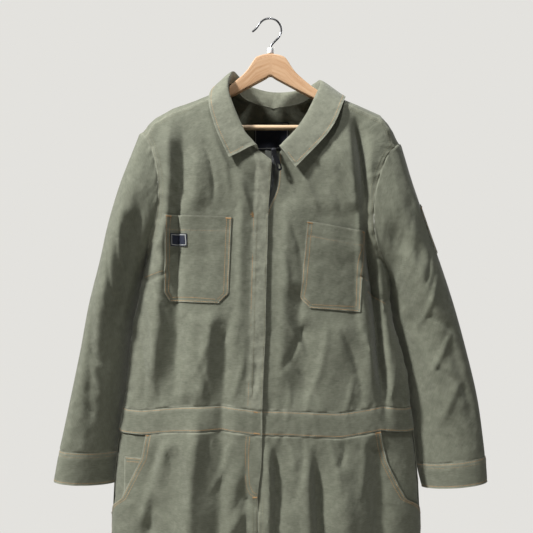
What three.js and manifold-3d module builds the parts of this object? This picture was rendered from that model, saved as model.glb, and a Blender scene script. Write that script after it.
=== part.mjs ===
// A long-sleeved cotton boiler suit hanging on a wooden clothes hanger.
// Millimetres, +Z up, +X to the viewer's right, front towards -Y. The origin is the inside of
// the top of the hanger hook's crook, where a peg or rail carries it. Names say the wearer's
// right and left, so a "right" piece lies on the viewer's left, at -X.
// Every cloth piece is a thin closed wall laid on one of a few surfaces: the bodice, the
// trousers, the collar and the sleeves. Each surface runs through the stations of a short table.
// The tables share one frame, in which the origin is at CROOK.
import * as THREE from "three";
import Module from "manifold-3d";

const wasm = await Module();
wasm.setup();

// Driving dimensions
const CLOTH = 1.6; // wall of one layer of twill
const DOUBLE = 2.2; // wall where the cloth is doubled, as in cuffs and collar
const PATCH = 1.3; // wall of a patch pocket
const LIFT = 3.5; // middle of a patch above the middle of its panel
const LABEL_LIFT = 1.9; // middle of the chest label above the middle of its pocket
const LABEL = 0.8; // wall of a label
const NECK_LABEL_OFF = 1.9; // middle of the neck label inside the middle of the back
const SEAM = 0.25; // distance of each piece's edge from its seam
const ARMHOLE_GAP = 1.9; // middle of a sleeve's first ring beyond the middle of the bodice's edge
const COLLAR_GAP = 2.7; // middle of the collar's first row above the middle of the neckline
const UNDERLAP = 3.8; // how far the left front lies behind the right one at the fly
const TAPE_WIDTH = 24;
const TAPE_WALL = 0.9;
const FINEST = 12; // narrowest fold flank in these solids
const FLY_END = -835;
const CROOK = new THREE.Vector3(3.5, 0, -14.2);
const HANGER_X = 5; // middle of the hanger
const BAR = { z: -213, y: -20, radius: 4.6, half: 193 };
const WIRE = 1.7; // radius of the hook's wire

const mix = (a, b, t) => a + (b - a) * t;
const clamp = (v, lo, hi) => Math.min(hi, Math.max(lo, v));
const smooth = (lo, hi, v) => {
  const t = clamp((v - lo) / (hi - lo), 0, 1);
  return t * t * (3 - 2 * t);
};
const bell = (d) => Math.exp(-d * d);
const vector = (x, y, z) => new THREE.Vector3(x, y, z);
const named = (names, rows) =>
  rows.map((row) => Object.fromEntries(names.map((name, i) => [name, row[i]])));

// The value of a table's column at a station number, by a cubic through the rows. The curve has
// a corner at each station in corners.
function column(rows, key, at, corners = []) {
  const last = rows.length - 1;
  const i = clamp(Math.floor(at), 0, last - 1);
  const t = at - i;
  const p1 = rows[i][key];
  const p2 = rows[i + 1][key];
  const p0 = i > 0 && !corners.includes(i) ? rows[i - 1][key] : 2 * p1 - p2;
  const p3 = i < last - 1 && !corners.includes(i + 1) ? rows[i + 2][key] : 2 * p2 - p1;
  const t2 = t * t;
  const t3 = t2 * t;
  return (
    (2 * t3 - 3 * t2 + 1) * p1 +
    ((t3 - 2 * t2 + t) * (p2 - p0)) / 2 +
    (3 * t2 - 2 * t3) * p2 +
    ((t3 - t2) * (p3 - p1)) / 2
  );
}

// The value of a broken line of [position, value] points in rising order of position.
function along(line, position) {
  const last = line.length - 1;
  if (position <= line[0][0]) return line[0][1];
  for (let i = 0; i < last; i++) {
    const [a, va] = line[i];
    const [b, vb] = line[i + 1];
    if (position <= b) return mix(va, vb, (position - a) / (b - a));
  }
  return line[last][1];
}

// Bodice stations run up the front, over the shoulder and down the back. At each one a row of
// cloth goes from the inner point, on the opening, neckline or centre back, to the outer point,
// on the side seam or armhole. round is 1 where the row turns round the side of the body,
// hug is 1 where the row follows the shoulder line, and drop is how far below that line.
const BODICE_COLUMNS = ["xi", "yi", "zi", "xo", "yo", "zo", "round", "hug", "drop"];
const FRONT_ARMPIT = 4;
const FRONT_NECK = 8;
const FRONT_YOKE = 10;
const SHOULDER = 11;
const BACK_NECK = 13;
const BACK_YOKE = 14;
const BACK_ARMPIT = 17;
const BACK_WAIST = 21;
const BODICE_CORNERS = {
  xi: [FRONT_NECK, BACK_NECK],
  yi: [FRONT_NECK, BACK_NECK],
  zi: [FRONT_NECK, BACK_NECK],
  xo: [FRONT_ARMPIT, BACK_ARMPIT],
  yo: [FRONT_ARMPIT, BACK_ARMPIT],
  zo: [FRONT_ARMPIT, BACK_ARMPIT],
  round: [FRONT_ARMPIT, BACK_ARMPIT],
};
const BODICE = {
  right: named(BODICE_COLUMNS, [
    [-9, -60, -696, -250, -2, -696, 1, 0, 0],
    [-7, -58, -640, -243, -2, -640, 1, 0, 0],
    [-4, -56, -580, -238, -3, -580, 1, 0, 0],
    [-3, -55, -520, -227, -6, -520, 1, 0, 0],
    [-1, -54, -445, -209, -14, -436, 1, 0, 0],
    [0, -54, -410, -201, -36, -406, 0.6, 0, 0],
    [1, -54, -366, -189, -49, -366, 0.4, 0, 0],
    [4, -55, -320, -186, -54, -322, 0.3, 0, 0],
    [7, -58, -277, -190, -53, -284, 0.2, 0, 0],
    [-46, -50, -230, -199, -49, -254, 0.1, 0.5, 44],
    [-69, -34, -162, -211, -42, -233, 0, 1, 14],
    [-66, 0, -131, -221, -22, -226, 0, 1, 0],
    [-40, 30, -152, -217, 2, -240, 0, 1, 14],
    [10, 42, -166, -207, 12, -266, 0.1, 0.2, 60],
    [8, 41, -270, -196, 15, -302, 0.2, 0, 0],
    [6, 38, -350, -189, 14, -352, 0.4, 0, 0],
    [4, 36, -410, -198, 4, -404, 0.6, 0, 0],
    [2, 36, -452, -209, -14, -436, 1, 0, 0],
    [0, 36, -520, -227, -6, -520, 1, 0, 0],
    [-2, 37, -580, -238, -3, -580, 1, 0, 0],
    [-5, 38, -640, -243, -2, -640, 1, 0, 0],
    [-8, 40, -696, -250, -2, -696, 1, 0, 0],
  ]),
  left: named(BODICE_COLUMNS, [
    [-19, -60, -696, 247, -2, -696, 1, 0, 0],
    [-17, -58, -640, 242, -2, -640, 1, 0, 0],
    [-14, -56, -580, 227, -3, -583, 1, 0, 0],
    [-13, -55, -520, 213, -6, -524, 1, 0, 0],
    [-12, -54, -445, 211, -14, -460, 1, 0, 0],
    [-8, -54, -410, 193, -38, -435, 0.6, 0, 0],
    [-1, -54, -366, 181, -49, -394, 0.4, 0, 0],
    [17, -55, -320, 181, -54, -340, 0.3, 0, 0],
    [20, -57, -262, 191, -53, -298, 0.2, 0, 0],
    [56, -49, -228, 204, -49, -268, 0.1, 0.5, 44],
    [86, -34, -172, 219, -42, -252, 0, 1, 14],
    [96, 0, -143, 231, -22, -246, 0, 1, 0],
    [62, 30, -158, 224, 2, -260, 0, 1, 14],
    [10, 42, -166, 210, 12, -286, 0.1, 0.2, 60],
    [8, 41, -270, 197, 15, -320, 0.2, 0, 0],
    [6, 38, -350, 188, 14, -374, 0.4, 0, 0],
    [4, 36, -410, 198, 4, -430, 0.6, 0, 0],
    [2, 36, -452, 211, -14, -460, 1, 0, 0],
    [0, 36, -520, 213, -6, -524, 1, 0, 0],
    [-2, 37, -580, 227, -3, -583, 1, 0, 0],
    [-5, 38, -640, 242, -2, -640, 1, 0, 0],
    [-8, 40, -696, 247, -2, -696, 1, 0, 0],
  ]),
};

// The shoulder's top line, as height at a distance to the side.
const SHOULDER_LINE = {
  right: [
    [60, -128],
    [99, -151],
    [129, -164],
    [165, -178],
    [194, -196],
    [207, -209],
    [221, -226],
  ],
  left: [
    [88, -139],
    [132, -160],
    [157, -171],
    [195, -190],
    [208, -206],
    [222, -230],
    [231, -246],
  ],
};

// Trouser stations run down a leg. fly and rear are x on the fly and the seat seam, which meet on
// the inseam; front and back are y there.
// deep is how far the leg bulges off its seams, and round turns the row round the inseam too.
const LEG_COLUMNS = ["z", "fly", "rear", "front", "back", "xo", "deep", "round"];
const INSEAM_TOP = 6;
const LEG_CORNERS = { front: [INSEAM_TOP], back: [INSEAM_TOP] };
const LEG = {
  right: named(LEG_COLUMNS, [
    [-737, -9, -9, -61, 41, -257, 0, 0],
    [-790, -11, -12.5, -63, 44, -263, 0, 0],
    [-835, -16, -16, -62, 46, -266, 1, 0],
    [-900, -16, -16, -58, 46, -268, 6, 0.05],
    [-965, -16, -16, -42, 38, -268, 20, 0.35],
    [-1028, -19, -19, -8, 9, -267, 50, 0.9],
    [-1120, -24, -24, 0, 0, -264, 56, 1],
    [-1300, -30, -30, 0, 0, -258, 54, 1],
    [-1520, -36, -36, 0, 0, -250, 49, 1],
    [-1768, -42, -42, 0, 0, -241, 44, 1],
  ]),
  left: named(LEG_COLUMNS, [
    [-737, -19, -9, -61, 41, 253, 0, 0],
    [-790, -21, -12.5, -63, 44, 258, 0, 0],
    [-835, -16, -16, -62, 46, 261, 1, 0],
    [-900, -16, -16, -58, 46, 263, 6, 0.05],
    [-965, -16, -16, -42, 38, 263, 20, 0.35],
    [-1028, -13, -13, -8, 9, 262, 50, 0.9],
    [-1120, -8, -8, 0, 0, 259, 56, 1],
    [-1300, -2, -2, 0, 0, 253, 54, 1],
    [-1520, 4, 4, 0, 0, 245, 49, 1],
    [-1768, 10, 10, 0, 0, 236, 44, 1],
  ]),
};

// Hanging folds, from a top to a bottom point. rise is out of the cloth, or into it below zero,
// and left and right are the widths of the two flanks.
const FOLD_COLUMNS = ["x0", "z0", "x1", "z1", "rise", "left", "right"];
const FRONT_FOLDS = named(FOLD_COLUMNS, [
  [-178, -215, -190, -690, 9, 17, 20],
  [-146, -205, -152, -700, -17, 32, 9],
  [-118, -250, -120, -690, 7, 20, 26],
  [-78, -520, -84, -1250, -16, 28, 9],
  [-40, -270, -52, -640, 5, 20, 16],
  [-41, -748, -44, -1010, -5, 18, 6],
  [-140, -690, -165, -1300, -13, 30, 22],
  [-110, -800, -120, -1600, 11, 30, 24],
  [148, -180, 196, -730, -20, 7, 12],
  [173, -290, 214, -730, 9, 14, 13],
  [112, -230, 128, -660, 6, 26, 22],
  [62, -480, 60, -700, -8, 30, 26],
  [34, -330, 22, -690, 5, 12, 22],
  [72, -742, 96, -1400, -14, 30, 9],
  [128, -760, 140, -1600, 12, 30, 30],
  [190, -900, 186, -1500, -10, 26, 24],
  [-66, -1150, -92, -1768, -8, 24, 20],
  [60, -1180, 78, -1768, 7, 22, 22],
]);
const BACK_FOLDS = named(FOLD_COLUMNS, [
  [-160, -320, -176, -700, -12, 20, 26],
  [-122, -300, -130, -1200, 9, 24, 20],
  [-70, -320, -62, -760, -10, 24, 14],
  [-12, -320, -6, -700, 7, 22, 30],
  [64, -320, 58, -730, -11, 16, 26],
  [118, -320, 134, -1250, 9, 26, 18],
  [162, -350, 182, -720, -12, 14, 24],
  [-84, -760, -110, -1600, -12, 26, 20],
  [-196, -760, -200, -1500, 8, 22, 22],
  [70, -760, 92, -1600, -13, 20, 26],
  [196, -780, 196, -1500, 8, 22, 22],
  [-150, -1100, -160, -1768, -8, 22, 20],
  [150, -1150, 150, -1768, -8, 20, 22],
]);

// Folds die away under the chest pockets, whose double cloth stays flatter.
const STIFF = [
  { x: -120, z: -444, wide: 68, high: 84 },
  { x: 114, z: -456, wide: 72, high: 86 },
];
const stiffness = (x, z) =>
  STIFF.reduce((sum, area) => {
    const far = Math.max(Math.abs(x - area.x) / area.wide, Math.abs(z - area.z) / area.high);
    return sum + 0.8 * (1 - smooth(0.95, 1.35, far));
  }, 0);

// How far the cloth stands out of its plain surface at x, z.
function foldRise(folds, x, z) {
  let rise = 0;
  for (const fold of folds) {
    const t = (fold.z0 - z) / (fold.z0 - fold.z1);
    if (t <= 0 || t >= 1.02) continue;
    const tail = fold.z1 < -1700 ? 1 : 1 - smooth(0.8, 1, t);
    const d = x - mix(fold.x0, fold.x1, t);
    const flank = Math.max(FINEST, d < 0 ? fold.left : fold.right);
    rise += fold.rise * bell(d / flank) * smooth(0, 0.14, t) * tail;
  }
  return folds === FRONT_FOLDS ? rise * (1 - stiffness(x, z)) : rise;
}

const quarterX = (s) => Math.sin((s * Math.PI) / 2);
const quarterY = (s) => 1 - Math.cos((s * Math.PI) / 2);

// A point of the bodice: s from the opening or centre back, 0, to the side or armhole, 1.
function bodice(side, s, v) {
  const at = (key) => column(BODICE[side], key, v, BODICE_CORNERS[key]);
  const round = clamp(at("round"), 0, 1);
  const turn = mix(s, quarterX(s), round);
  const x = mix(at("xi"), at("xo"), turn);
  let y = mix(at("yi"), at("yo"), mix(s * s, quarterY(s), round));
  let z = mix(at("zi"), at("zo"), turn);
  const hug = clamp(at("hug"), 0, 1) * smooth(0, 0.15, s) * (1 - smooth(0.9, 1, s));
  if (hug > 0) z = mix(z, along(SHOULDER_LINE[side], Math.abs(x)) - Math.max(0, at("drop")), hug);
  const free = 1 - smooth(0.78, 0.97, s);
  if (v < SHOULDER) y -= foldRise(FRONT_FOLDS, x, z) * free;
  else y += foldRise(BACK_FOLDS, x, z) * free;
  if (side === "left" && v < FRONT_YOKE) {
    y += UNDERLAP * (1 - smooth(0.08, 0.26, s)) * (1 - smooth(FRONT_NECK, FRONT_NECK + 1.5, v));
  }
  return vector(x, y, z);
}

// A point of one face of the trousers: s from the crotch seam or inseam, 0, to the side seam, 1.
function trousers(side, face, s, v) {
  const at = (key) => column(LEG[side], key, v, LEG_CORNERS[key]);
  const z = at("z");
  const round = clamp(at("round"), 0, 1);
  const half = (1 - Math.cos(s * Math.PI)) / 2;
  const x = mix(at(face === "front" ? "fly" : "rear"), at("xo"), mix(quarterX(s), half, round));
  const out = face === "front" ? -1 : 1;
  let y = mix(at(face), 0, mix(quarterY(s), half, round));
  y += out * at("deep") * Math.sin(s * Math.PI);
  const free = (1 - smooth(0.78, 0.97, s)) * mix(1, smooth(0, 0.14, s), smooth(0, 0.5, round));
  y += out * foldRise(face === "front" ? FRONT_FOLDS : BACK_FOLDS, x, z) * free;
  if (side === "left" && face === "front") {
    y += UNDERLAP * (1 - smooth(0.08, 0.26, s)) * smooth(FLY_END - 45, FLY_END, z);
  }
  return vector(x, y, z);
}

// A point of the waistband, q from its top, 0, to its bottom, 1.
function waist(side, face, s, q) {
  const top = bodice(side, s, face === "front" ? 0 : BACK_WAIST);
  return top.lerp(trousers(side, face, s, 0), q);
}

// Collar stations run round the neckline from the right front's end to the left front's one.
// Each has its bodice station, the top of the roll, and the leaf's edge.
const COLLAR_COLUMNS = ["side", "v", "rx", "ry", "rz", "ex", "ey", "ez"];
const COLLAR = named(COLLAR_COLUMNS, [
  ["right", 8.4, -18, -62, -250, -65, -67, -273],
  ["right", 9, -41, -55, -220, -88, -60, -222],
  ["right", 10, -66, -38, -150, -101, -44, -172],
  ["right", 11, -58, 4, -108, -92, 0, -137],
  ["right", 12, -36, 34, -122, -62, 50, -152],
  ["right", 13, 10, 46, -133, 10, 58, -171],
  ["left", 12, 62, 35, -131, 84, 50, -158],
  ["left", 11, 90, 4, -124, 132, 0, -153],
  ["left", 10, 82, -38, -158, 128, -47, -178],
  ["left", 9, 54, -53, -212, 104, -62, -228],
  ["left", 8.1, 19, -62, -252, 47, -68, -290],
]);

// A point of the collar: t along the neckline, in stations, and u from the neck seam, 0, over
// the roll, to the leaf's edge, 1.
function collar(t, u) {
  const at = (key) => column(COLLAR, key, t);
  const i = clamp(Math.floor(t), 0, COLLAR.length - 2);
  const side = i < 5 ? "right" : "left";
  const neck = bodice(side, 0, clamp(mix(COLLAR[i].v, COLLAR[i + 1].v, t - i), 0, BACK_NECK));
  const roll = vector(at("rx"), at("ry"), at("rz"));
  const edge = vector(at("ex"), at("ey"), at("ez"));
  const up = roll.clone().sub(neck).normalize();
  const seam = neck.clone().addScaledVector(up, COLLAR_GAP);
  const out = edge.clone().sub(seam);
  out.addScaledVector(up, -out.dot(up)).normalize();
  const points = [
    seam,
    seam.clone().lerp(roll, 0.62).addScaledVector(out, 0.4),
    roll.clone().addScaledVector(out, 3),
    roll.clone().lerp(edge, 0.22).addScaledVector(out, 3.4).addScaledVector(up, 1),
    roll.clone().lerp(edge, 0.6).addScaledVector(out, 2),
    edge,
  ].map((p) => ({ x: p.x, y: p.y, z: p.z }));
  return vector(...["x", "y", "z"].map((key) => column(points, key, u * (points.length - 1))));
}

// Sleeve stations run from the armhole to the cuff's end. Each is an oval ring, from its outer
// point to its inner one and deep to each side of y. lean is how far the inner edge goes back,
// behind the side of the body. The last two stations are the cuff.
const SLEEVE_COLUMNS = ["xo", "zo", "xi", "zi", "y", "deep", "lean"];
const CUFF_TOP = 8;
const CUFF_END = 9;
const SLEEVE = {
  right: named(SLEEVE_COLUMNS, [
    [-220, -225, -209, -438, -19, 34, 0],
    [-236, -262, -217, -448, -18, 42, 12],
    [-256, -314, -218, -467, -16, 47, 30],
    [-275, -378, -221, -493, -14, 48, 37],
    [-290, -446, -228, -524, -13, 46, 40],
    [-308, -520, -235, -562, -13, 42, 41],
    [-322, -600, -242, -628, -14, 38, 41],
    [-338, -682, -250, -694, -16, 33, 40],
    [-355, -768, -262, -774, -18, 25, 36],
    [-364, -822, -267, -830, -18, 24, 34],
  ]),
  left: named(SLEEVE_COLUMNS, [
    [231, -246, 211, -462, -19, 34, 0],
    [246, -296, 217, -471, -18, 42, 12],
    [262, -345, 214, -490, -16, 47, 30],
    [278, -392, 213, -514, -14, 48, 37],
    [300, -455, 218, -546, -13, 46, 40],
    [322, -525, 229, -588, -13, 42, 42],
    [342, -602, 242, -644, -14, 38, 42],
    [360, -685, 249, -704, -16, 33, 40],
    [371, -778, 261, -796, -18, 27, 36],
    [374, -822, 271, -838, -18, 24, 34],
  ]),
};

// Sleeve folds run from a station and angle to another. Angles are degrees from the outer edge,
// over the front, to the inner one at 180. wide is in degrees.
const SLEEVE_FOLD_COLUMNS = ["w0", "a0", "w1", "a1", "rise", "wide"];
const SLEEVE_FOLDS = {
  right: named(SLEEVE_FOLD_COLUMNS, [
    [0.6, 100, 5.5, 118, -7, 17],
    [0.8, 62, 6.5, 70, 4, 20],
    [2, 140, 7.6, 112, 5, 16],
    [4.6, 45, 7.7, 92, -5, 15],
    [3, 20, 7, 32, -4, 15],
    [1, 230, 7, 245, -5, 22],
    [2.5, 290, 7.5, 300, 5, 22],
  ]),
  left: named(SLEEVE_FOLD_COLUMNS, [
    [0.5, 120, 3.8, 60, -4, 18],
    [0.9, 60, 4.4, 28, -3, 18],
    [2.2, 140, 6.2, 96, -5, 18],
    [1.6, 92, 5.6, 66, 3, 18],
    [5.2, 70, 7.7, 40, -4, 15],
    [4.6, 120, 7.6, 90, 5, 15],
    [1, 240, 7, 250, -5, 22],
    [2.5, 300, 7.5, 290, 5, 22],
  ]),
};

// A point of a sleeve: angle in degrees and w in stations.
function sleeve(side, angle, w) {
  const at = (key) => column(SLEEVE[side], key, w, [CUFF_TOP]);
  const turn = (((angle % 360) + 360) % 360) / 360;
  const outer = vector(at("xo"), at("y"), at("zo"));
  const inner = vector(at("xi"), at("y"), at("zi"));
  let deep = at("deep");
  const theta = turn * 2 * Math.PI;
  const ends = smooth(0.4, 1.6, w) * (1 - smooth(7, 7.9, w));
  for (const fold of SLEEVE_FOLDS[side]) {
    const t = (w - fold.w0) / (fold.w1 - fold.w0);
    if (t <= 0 || t >= 1) continue;
    let d = turn * 360 - mix(fold.a0, fold.a1, t);
    d -= 360 * Math.round(d / 360);
    const swell = smooth(0, 0.25, t) * (1 - smooth(0.75, 1, t));
    const clear = 1 - bell((turn * 360 - 180) / 38);
    deep += fold.rise * bell(d / fold.wide) * swell * ends * clear;
  }
  const ring = inner.clone().lerp(outer, 0.5 + 0.5 * Math.cos(theta));
  ring.y += at("lean") * (0.5 - 0.5 * Math.cos(theta)) ** 2 - deep * Math.sin(theta);
  if (w >= 2) return ring;
  // Near the armhole the oval gives way to the armhole's own line.
  const [from, to] = turn < 0.5 ? [SHOULDER, FRONT_ARMPIT] : [BACK_ARMPIT, SHOULDER];
  const v = mix(from, to, (turn * 2) % 1);
  const hole = bodice(side, 1, v);
  const edge = bodice(side, 1, v + 0.01).sub(bodice(side, 1, v - 0.01)).normalize();
  const away = hole.clone().sub(bodice(side, 0.97, v)).normalize();
  away.addScaledVector(edge, -away.dot(edge)).normalize();
  away.lerp(vector(side === "right" ? -0.8 : 0.8, 0, 0.6), bell((turn - 0.5) / 0.06));
  const first = vector(
    mix(SLEEVE[side][0].xi, SLEEVE[side][0].xo, 0.5 + 0.5 * Math.cos(theta)),
    SLEEVE[side][0].y - SLEEVE[side][0].deep * Math.sin(theta),
    mix(SLEEVE[side][0].zi, SLEEVE[side][0].zo, 0.5 + 0.5 * Math.cos(theta)),
  );
  const shift = hole.addScaledVector(away, ARMHOLE_GAP).sub(first);
  return ring.addScaledVector(shift, 1 - smooth(0, 2, w));
}

// The outward normal of a surface at its own two coordinates.
function normalOf(surface, a, b, out) {
  const e = 0.004;
  const du = surface(a + e, b).sub(surface(a - e, b));
  const dv = surface(a, b + e).sub(surface(a, b - e));
  return du.cross(dv).normalize().multiplyScalar(out);
}

// A sheet of cloth: cells laid on surfaces, closed into one wall.
class Sheet {
  constructor(thickness) {
    this.thickness = thickness;
    this.points = [];
    this.normals = [];
    this.cells = [];
    this.ids = new Map();
  }

  vertex(point, normal) {
    const key = [point.x, point.y, point.z].map((c) => Math.round(c * 50)).join();
    if (!this.ids.has(key)) {
      this.ids.set(key, this.points.length);
      this.points.push(point);
      this.normals.push(vector(0, 0, 0));
    }
    this.normals[this.ids.get(key)].add(normal);
    return this.ids.get(key);
  }

  // Lays rows by columns cells on a surface. grid(r, c) gives the surface's coordinates for r
  // and c from 0 to 1, out is the sign that turns its normal outwards, lift moves it that way.
  lay(surface, rows, columns, grid, out, lift = 0) {
    const ids = [];
    for (let r = 0; r <= rows; r++) {
      ids.push([]);
      for (let c = 0; c <= columns; c++) {
        const [a, b] = grid(r / rows, c / columns);
        const normal = normalOf(surface, a, b, out);
        ids[r].push(this.vertex(surface(a, b).addScaledVector(normal, lift), normal));
      }
    }
    for (let r = 0; r < rows; r++) {
      for (let c = 0; c < columns; c++) {
        this.cells.push([ids[r][c], ids[r][c + 1], ids[r + 1][c + 1], ids[r + 1][c]]);
      }
    }
    return this;
  }

  // The cells turned to agree with their normals, as triangles with a rim round every open edge.
  geometry() {
    const count = this.points.length;
    const half = this.thickness / 2;
    const unit = this.normals.map((n) => n.clone().normalize());
    const outer = this.points.map((p, i) => p.clone().addScaledVector(unit[i], half));
    const inner = this.points.map((p, i) => p.clone().addScaledVector(unit[i], -half));
    const triangles = [];
    const edges = new Map();
    for (const cell of this.cells) {
      const [a, b, c, d] = cell.map((i) => this.points[i]);
      const facing = c.clone().sub(a).cross(d.clone().sub(b));
      const turned = facing.dot(unit[cell[0]].clone().add(unit[cell[2]])) < 0;
      const ring = turned ? [...cell].reverse() : cell;
      const loop = ring.filter((id, i) => id !== ring[(i + 1) % ring.length]);
      for (let i = 1; i + 1 < loop.length; i++) {
        const [p, q, r] = [loop[0], loop[i], loop[i + 1]];
        triangles.push([p, q, r], [p + count, r + count, q + count]);
      }
      loop.forEach((id, i) => {
        const next = loop[(i + 1) % loop.length];
        if (edges.has(`${next},${id}`)) edges.delete(`${next},${id}`);
        else edges.set(`${id},${next}`, [id, next]);
      });
    }
    for (const [a, b] of edges.values()) {
      triangles.push([a, a + count, b + count], [a, b + count, b]);
    }
    return geometryOf([...outer, ...inner], triangles);
  }
}

function geometryOf(points, triangles) {
  const geometry = new THREE.BufferGeometry();
  const flat = points.flatMap((p) => [p.x - CROOK.x, p.y - CROOK.y, p.z - CROOK.z]);
  geometry.setAttribute("position", new THREE.Float32BufferAttribute(flat, 3));
  geometry.setIndex(triangles.flat());
  geometry.computeVertexNormals();
  return geometry;
}

// A solid through closed rings of points, with flat ends and faces turned out.
function loft(rings) {
  const count = rings[0].length;
  const points = rings.flat();
  const triangles = [];
  const next = (c) => (c + 1) % count;
  for (let r = 0; r + 1 < rings.length; r++) {
    for (let c = 0; c < count; c++) {
      const [a, b] = [r * count + c, r * count + next(c)];
      triangles.push([a, b, b + count], [a, b + count, a + count]);
    }
  }
  for (const end of [0, rings.length - 1]) {
    const middle = vector(0, 0, 0);
    rings[end].forEach((p) => middle.addScaledVector(p, 1 / count));
    points.push(middle);
    for (let c = 0; c < count; c++) {
      const [a, b] = [end * count + c, end * count + next(c)];
      triangles.push(end === 0 ? [b, a, points.length - 1] : [a, b, points.length - 1]);
    }
  }
  const volume = triangles.reduce((sum, [a, b, c]) => {
    return sum + points[a].dot(points[b].clone().cross(points[c]));
  }, 0);
  return geometryOf(points, volume < 0 ? triangles.map(([a, b, c]) => [a, c, b]) : triangles);
}

// A ring of count points round a centre, in the plane of two half axes. square rounds a
// rectangle's corners: 1 is an oval.
function ringAt(centre, axisA, axisB, count, square = 1) {
  const bend = (value) => Math.sign(value) * Math.abs(value) ** square;
  return Array.from({ length: count }, (_, i) => {
    const angle = (i / count) * 2 * Math.PI;
    return centre
      .clone()
      .addScaledVector(axisA, bend(Math.cos(angle)))
      .addScaledVector(axisB, bend(Math.sin(angle)));
  });
}

// A bar of round or rounded section along a curve through points in a plane of constant y.
function sweep(points, radius, steps, count) {
  const curve = new THREE.CatmullRomCurve3(points, false, "centripetal");
  const depth = vector(0, radius, 0);
  const rings = [];
  for (let i = 0; i <= steps; i++) {
    const tangent = curve.getTangentAt(i / steps);
    const across = vector(tangent.z, 0, -tangent.x).normalize().multiplyScalar(radius);
    rings.push(ringAt(curve.getPointAt(i / steps), across, depth, count));
  }
  return loft(rings);
}

const finish = (color, roughness, metalness = 0) =>
  new THREE.MeshStandardMaterial({ color, roughness, metalness });
const OLIVE = finish(0x6e7362, 0.85);
const OLIVE_DEEP = finish(0x5b6051, 0.85);
const NAVY = finish(0x1b2233, 0.7);
const TAPE = finish(0x8a8f86, 0.8);
const BEECH = finish(0xd3a47a, 0.5);
const STEEL = finish(0x6f7174, 0.35, 1);
const PLASTIC = finish(0xe9e9ea, 0.4);
const GUNMETAL = finish(0x2a2b2e, 0.4, 0.8);

const suit = new THREE.Group();
function add(name, geometry, material) {
  const mesh = new THREE.Mesh(geometry, material);
  mesh.name = name;
  suit.add(mesh);
  return mesh;
}

// Shares of a row and of a station's step that keep an edge SEAM away from its seam.
const STEP = SEAM / 42;
const SHORT_STEP = SEAM / 18;
const WAIST_STEP = (2 * SEAM) / 41;
const CUFF_STEP = SEAM / 70;
const INNER = SEAM / 150;
const OUTER = 1 - SEAM / 80;
const across = (c) => mix(INNER, OUTER, c);
// Sign that turns the bodice's and the trouser backs' normals outwards; the fronts of the
// trousers, whose stations run down instead of up, take the other one.
const OUT = { right: -1, left: 1 };
const SIDES = ["right", "left"];
const on = {
  bodice: (side) => (s, v) => bodice(side, s, v),
  waist: (side, face) => (s, q) => waist(side, face, s, q),
  leg: (side, face) => (s, v) => trousers(side, face, s, v),
};

// Bodice fronts, yoke and back
for (const side of SIDES) {
  const front = new Sheet(CLOTH);
  const grid = (r, c) => [across(c), mix(STEP, FRONT_YOKE - SHORT_STEP, r)];
  front.lay(on.bodice(side), 19, 13, grid, OUT[side]);
  add(`front_${side}`, front.geometry(), OLIVE);
}
const yoke = new Sheet(CLOTH);
const back = new Sheet(CLOTH);
for (const side of SIDES) {
  const shoulder = (r, c) => [c * OUTER, mix(FRONT_YOKE + SHORT_STEP, BACK_NECK, r)];
  yoke.lay(on.bodice(side), 6, 13, shoulder, OUT[side]);
  const below = (r, c) => [c * OUTER, mix(BACK_NECK, BACK_YOKE - STEP, r)];
  yoke.lay(on.bodice(side), 2, 13, below, OUT[side]);
  const down = (r, c) => [c * OUTER, mix(BACK_YOKE + STEP, BACK_WAIST - STEP, r)];
  back.lay(on.bodice(side), 13, 12, down, OUT[side]);
}
add("yoke", yoke.geometry(), OLIVE);
add("back", back.geometry(), OLIVE);

// Waistband
const waistBack = new Sheet(DOUBLE);
for (const side of SIDES) {
  const waistFront = new Sheet(DOUBLE);
  const down = (r) => mix(WAIST_STEP, 1 - WAIST_STEP, r);
  waistFront.lay(on.waist(side, "front"), 2, 18, (r, c) => [across(c), down(r)], -OUT[side]);
  add(`waistband_${side}`, waistFront.geometry(), OLIVE);
  waistBack.lay(on.waist(side, "back"), 2, 13, (r, c) => [c * OUTER, down(r)], OUT[side]);
}
add("waistband_back", waistBack.geometry(), OLIVE);

// Slanted openings of the hand pockets, as points from the waistband to the side seam.
const SLANT = {
  right: [
    [-206, -737],
    [-214, -780],
    [-238, -828],
    [-262, -879],
  ],
  left: [
    [190, -737],
    [202, -787],
    [222, -827],
    [251, -879],
  ],
};
const COIN = { top: -778, bottom: -847, far: -245, near: 4, least: 3 };

// The row share s at which a surface's row has a given x.
function shareAt(surface, v, x) {
  let [lo, hi] = [0, 1];
  const rising = surface(1, v).x > surface(0, v).x;
  for (let i = 0; i < 40; i++) {
    const middle = (lo + hi) / 2;
    if (surface(middle, v).x < x === rising) lo = middle;
    else hi = middle;
  }
  return (lo + hi) / 2;
}

// The station at which a leg's rows have a given height.
function legStation(side, z) {
  let [lo, hi] = [0, LEG[side].length - 1];
  for (let i = 0; i < 40; i++) {
    const middle = (lo + hi) / 2;
    if (column(LEG[side], "z", middle) > z) lo = middle;
    else hi = middle;
  }
  return (lo + hi) / 2;
}

// The row share of the slant at a station; past its lower end it is the side seam.
function slantShare(side, v, shift = 0) {
  const z = column(LEG[side], "z", v);
  const points = SLANT[side];
  if (z < points[points.length - 1][1]) return 1;
  const falling = points.map(([x, height]) => [-height, x]);
  return shareAt(on.leg(side, "front"), v, along(falling, -z) + shift);
}

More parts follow.
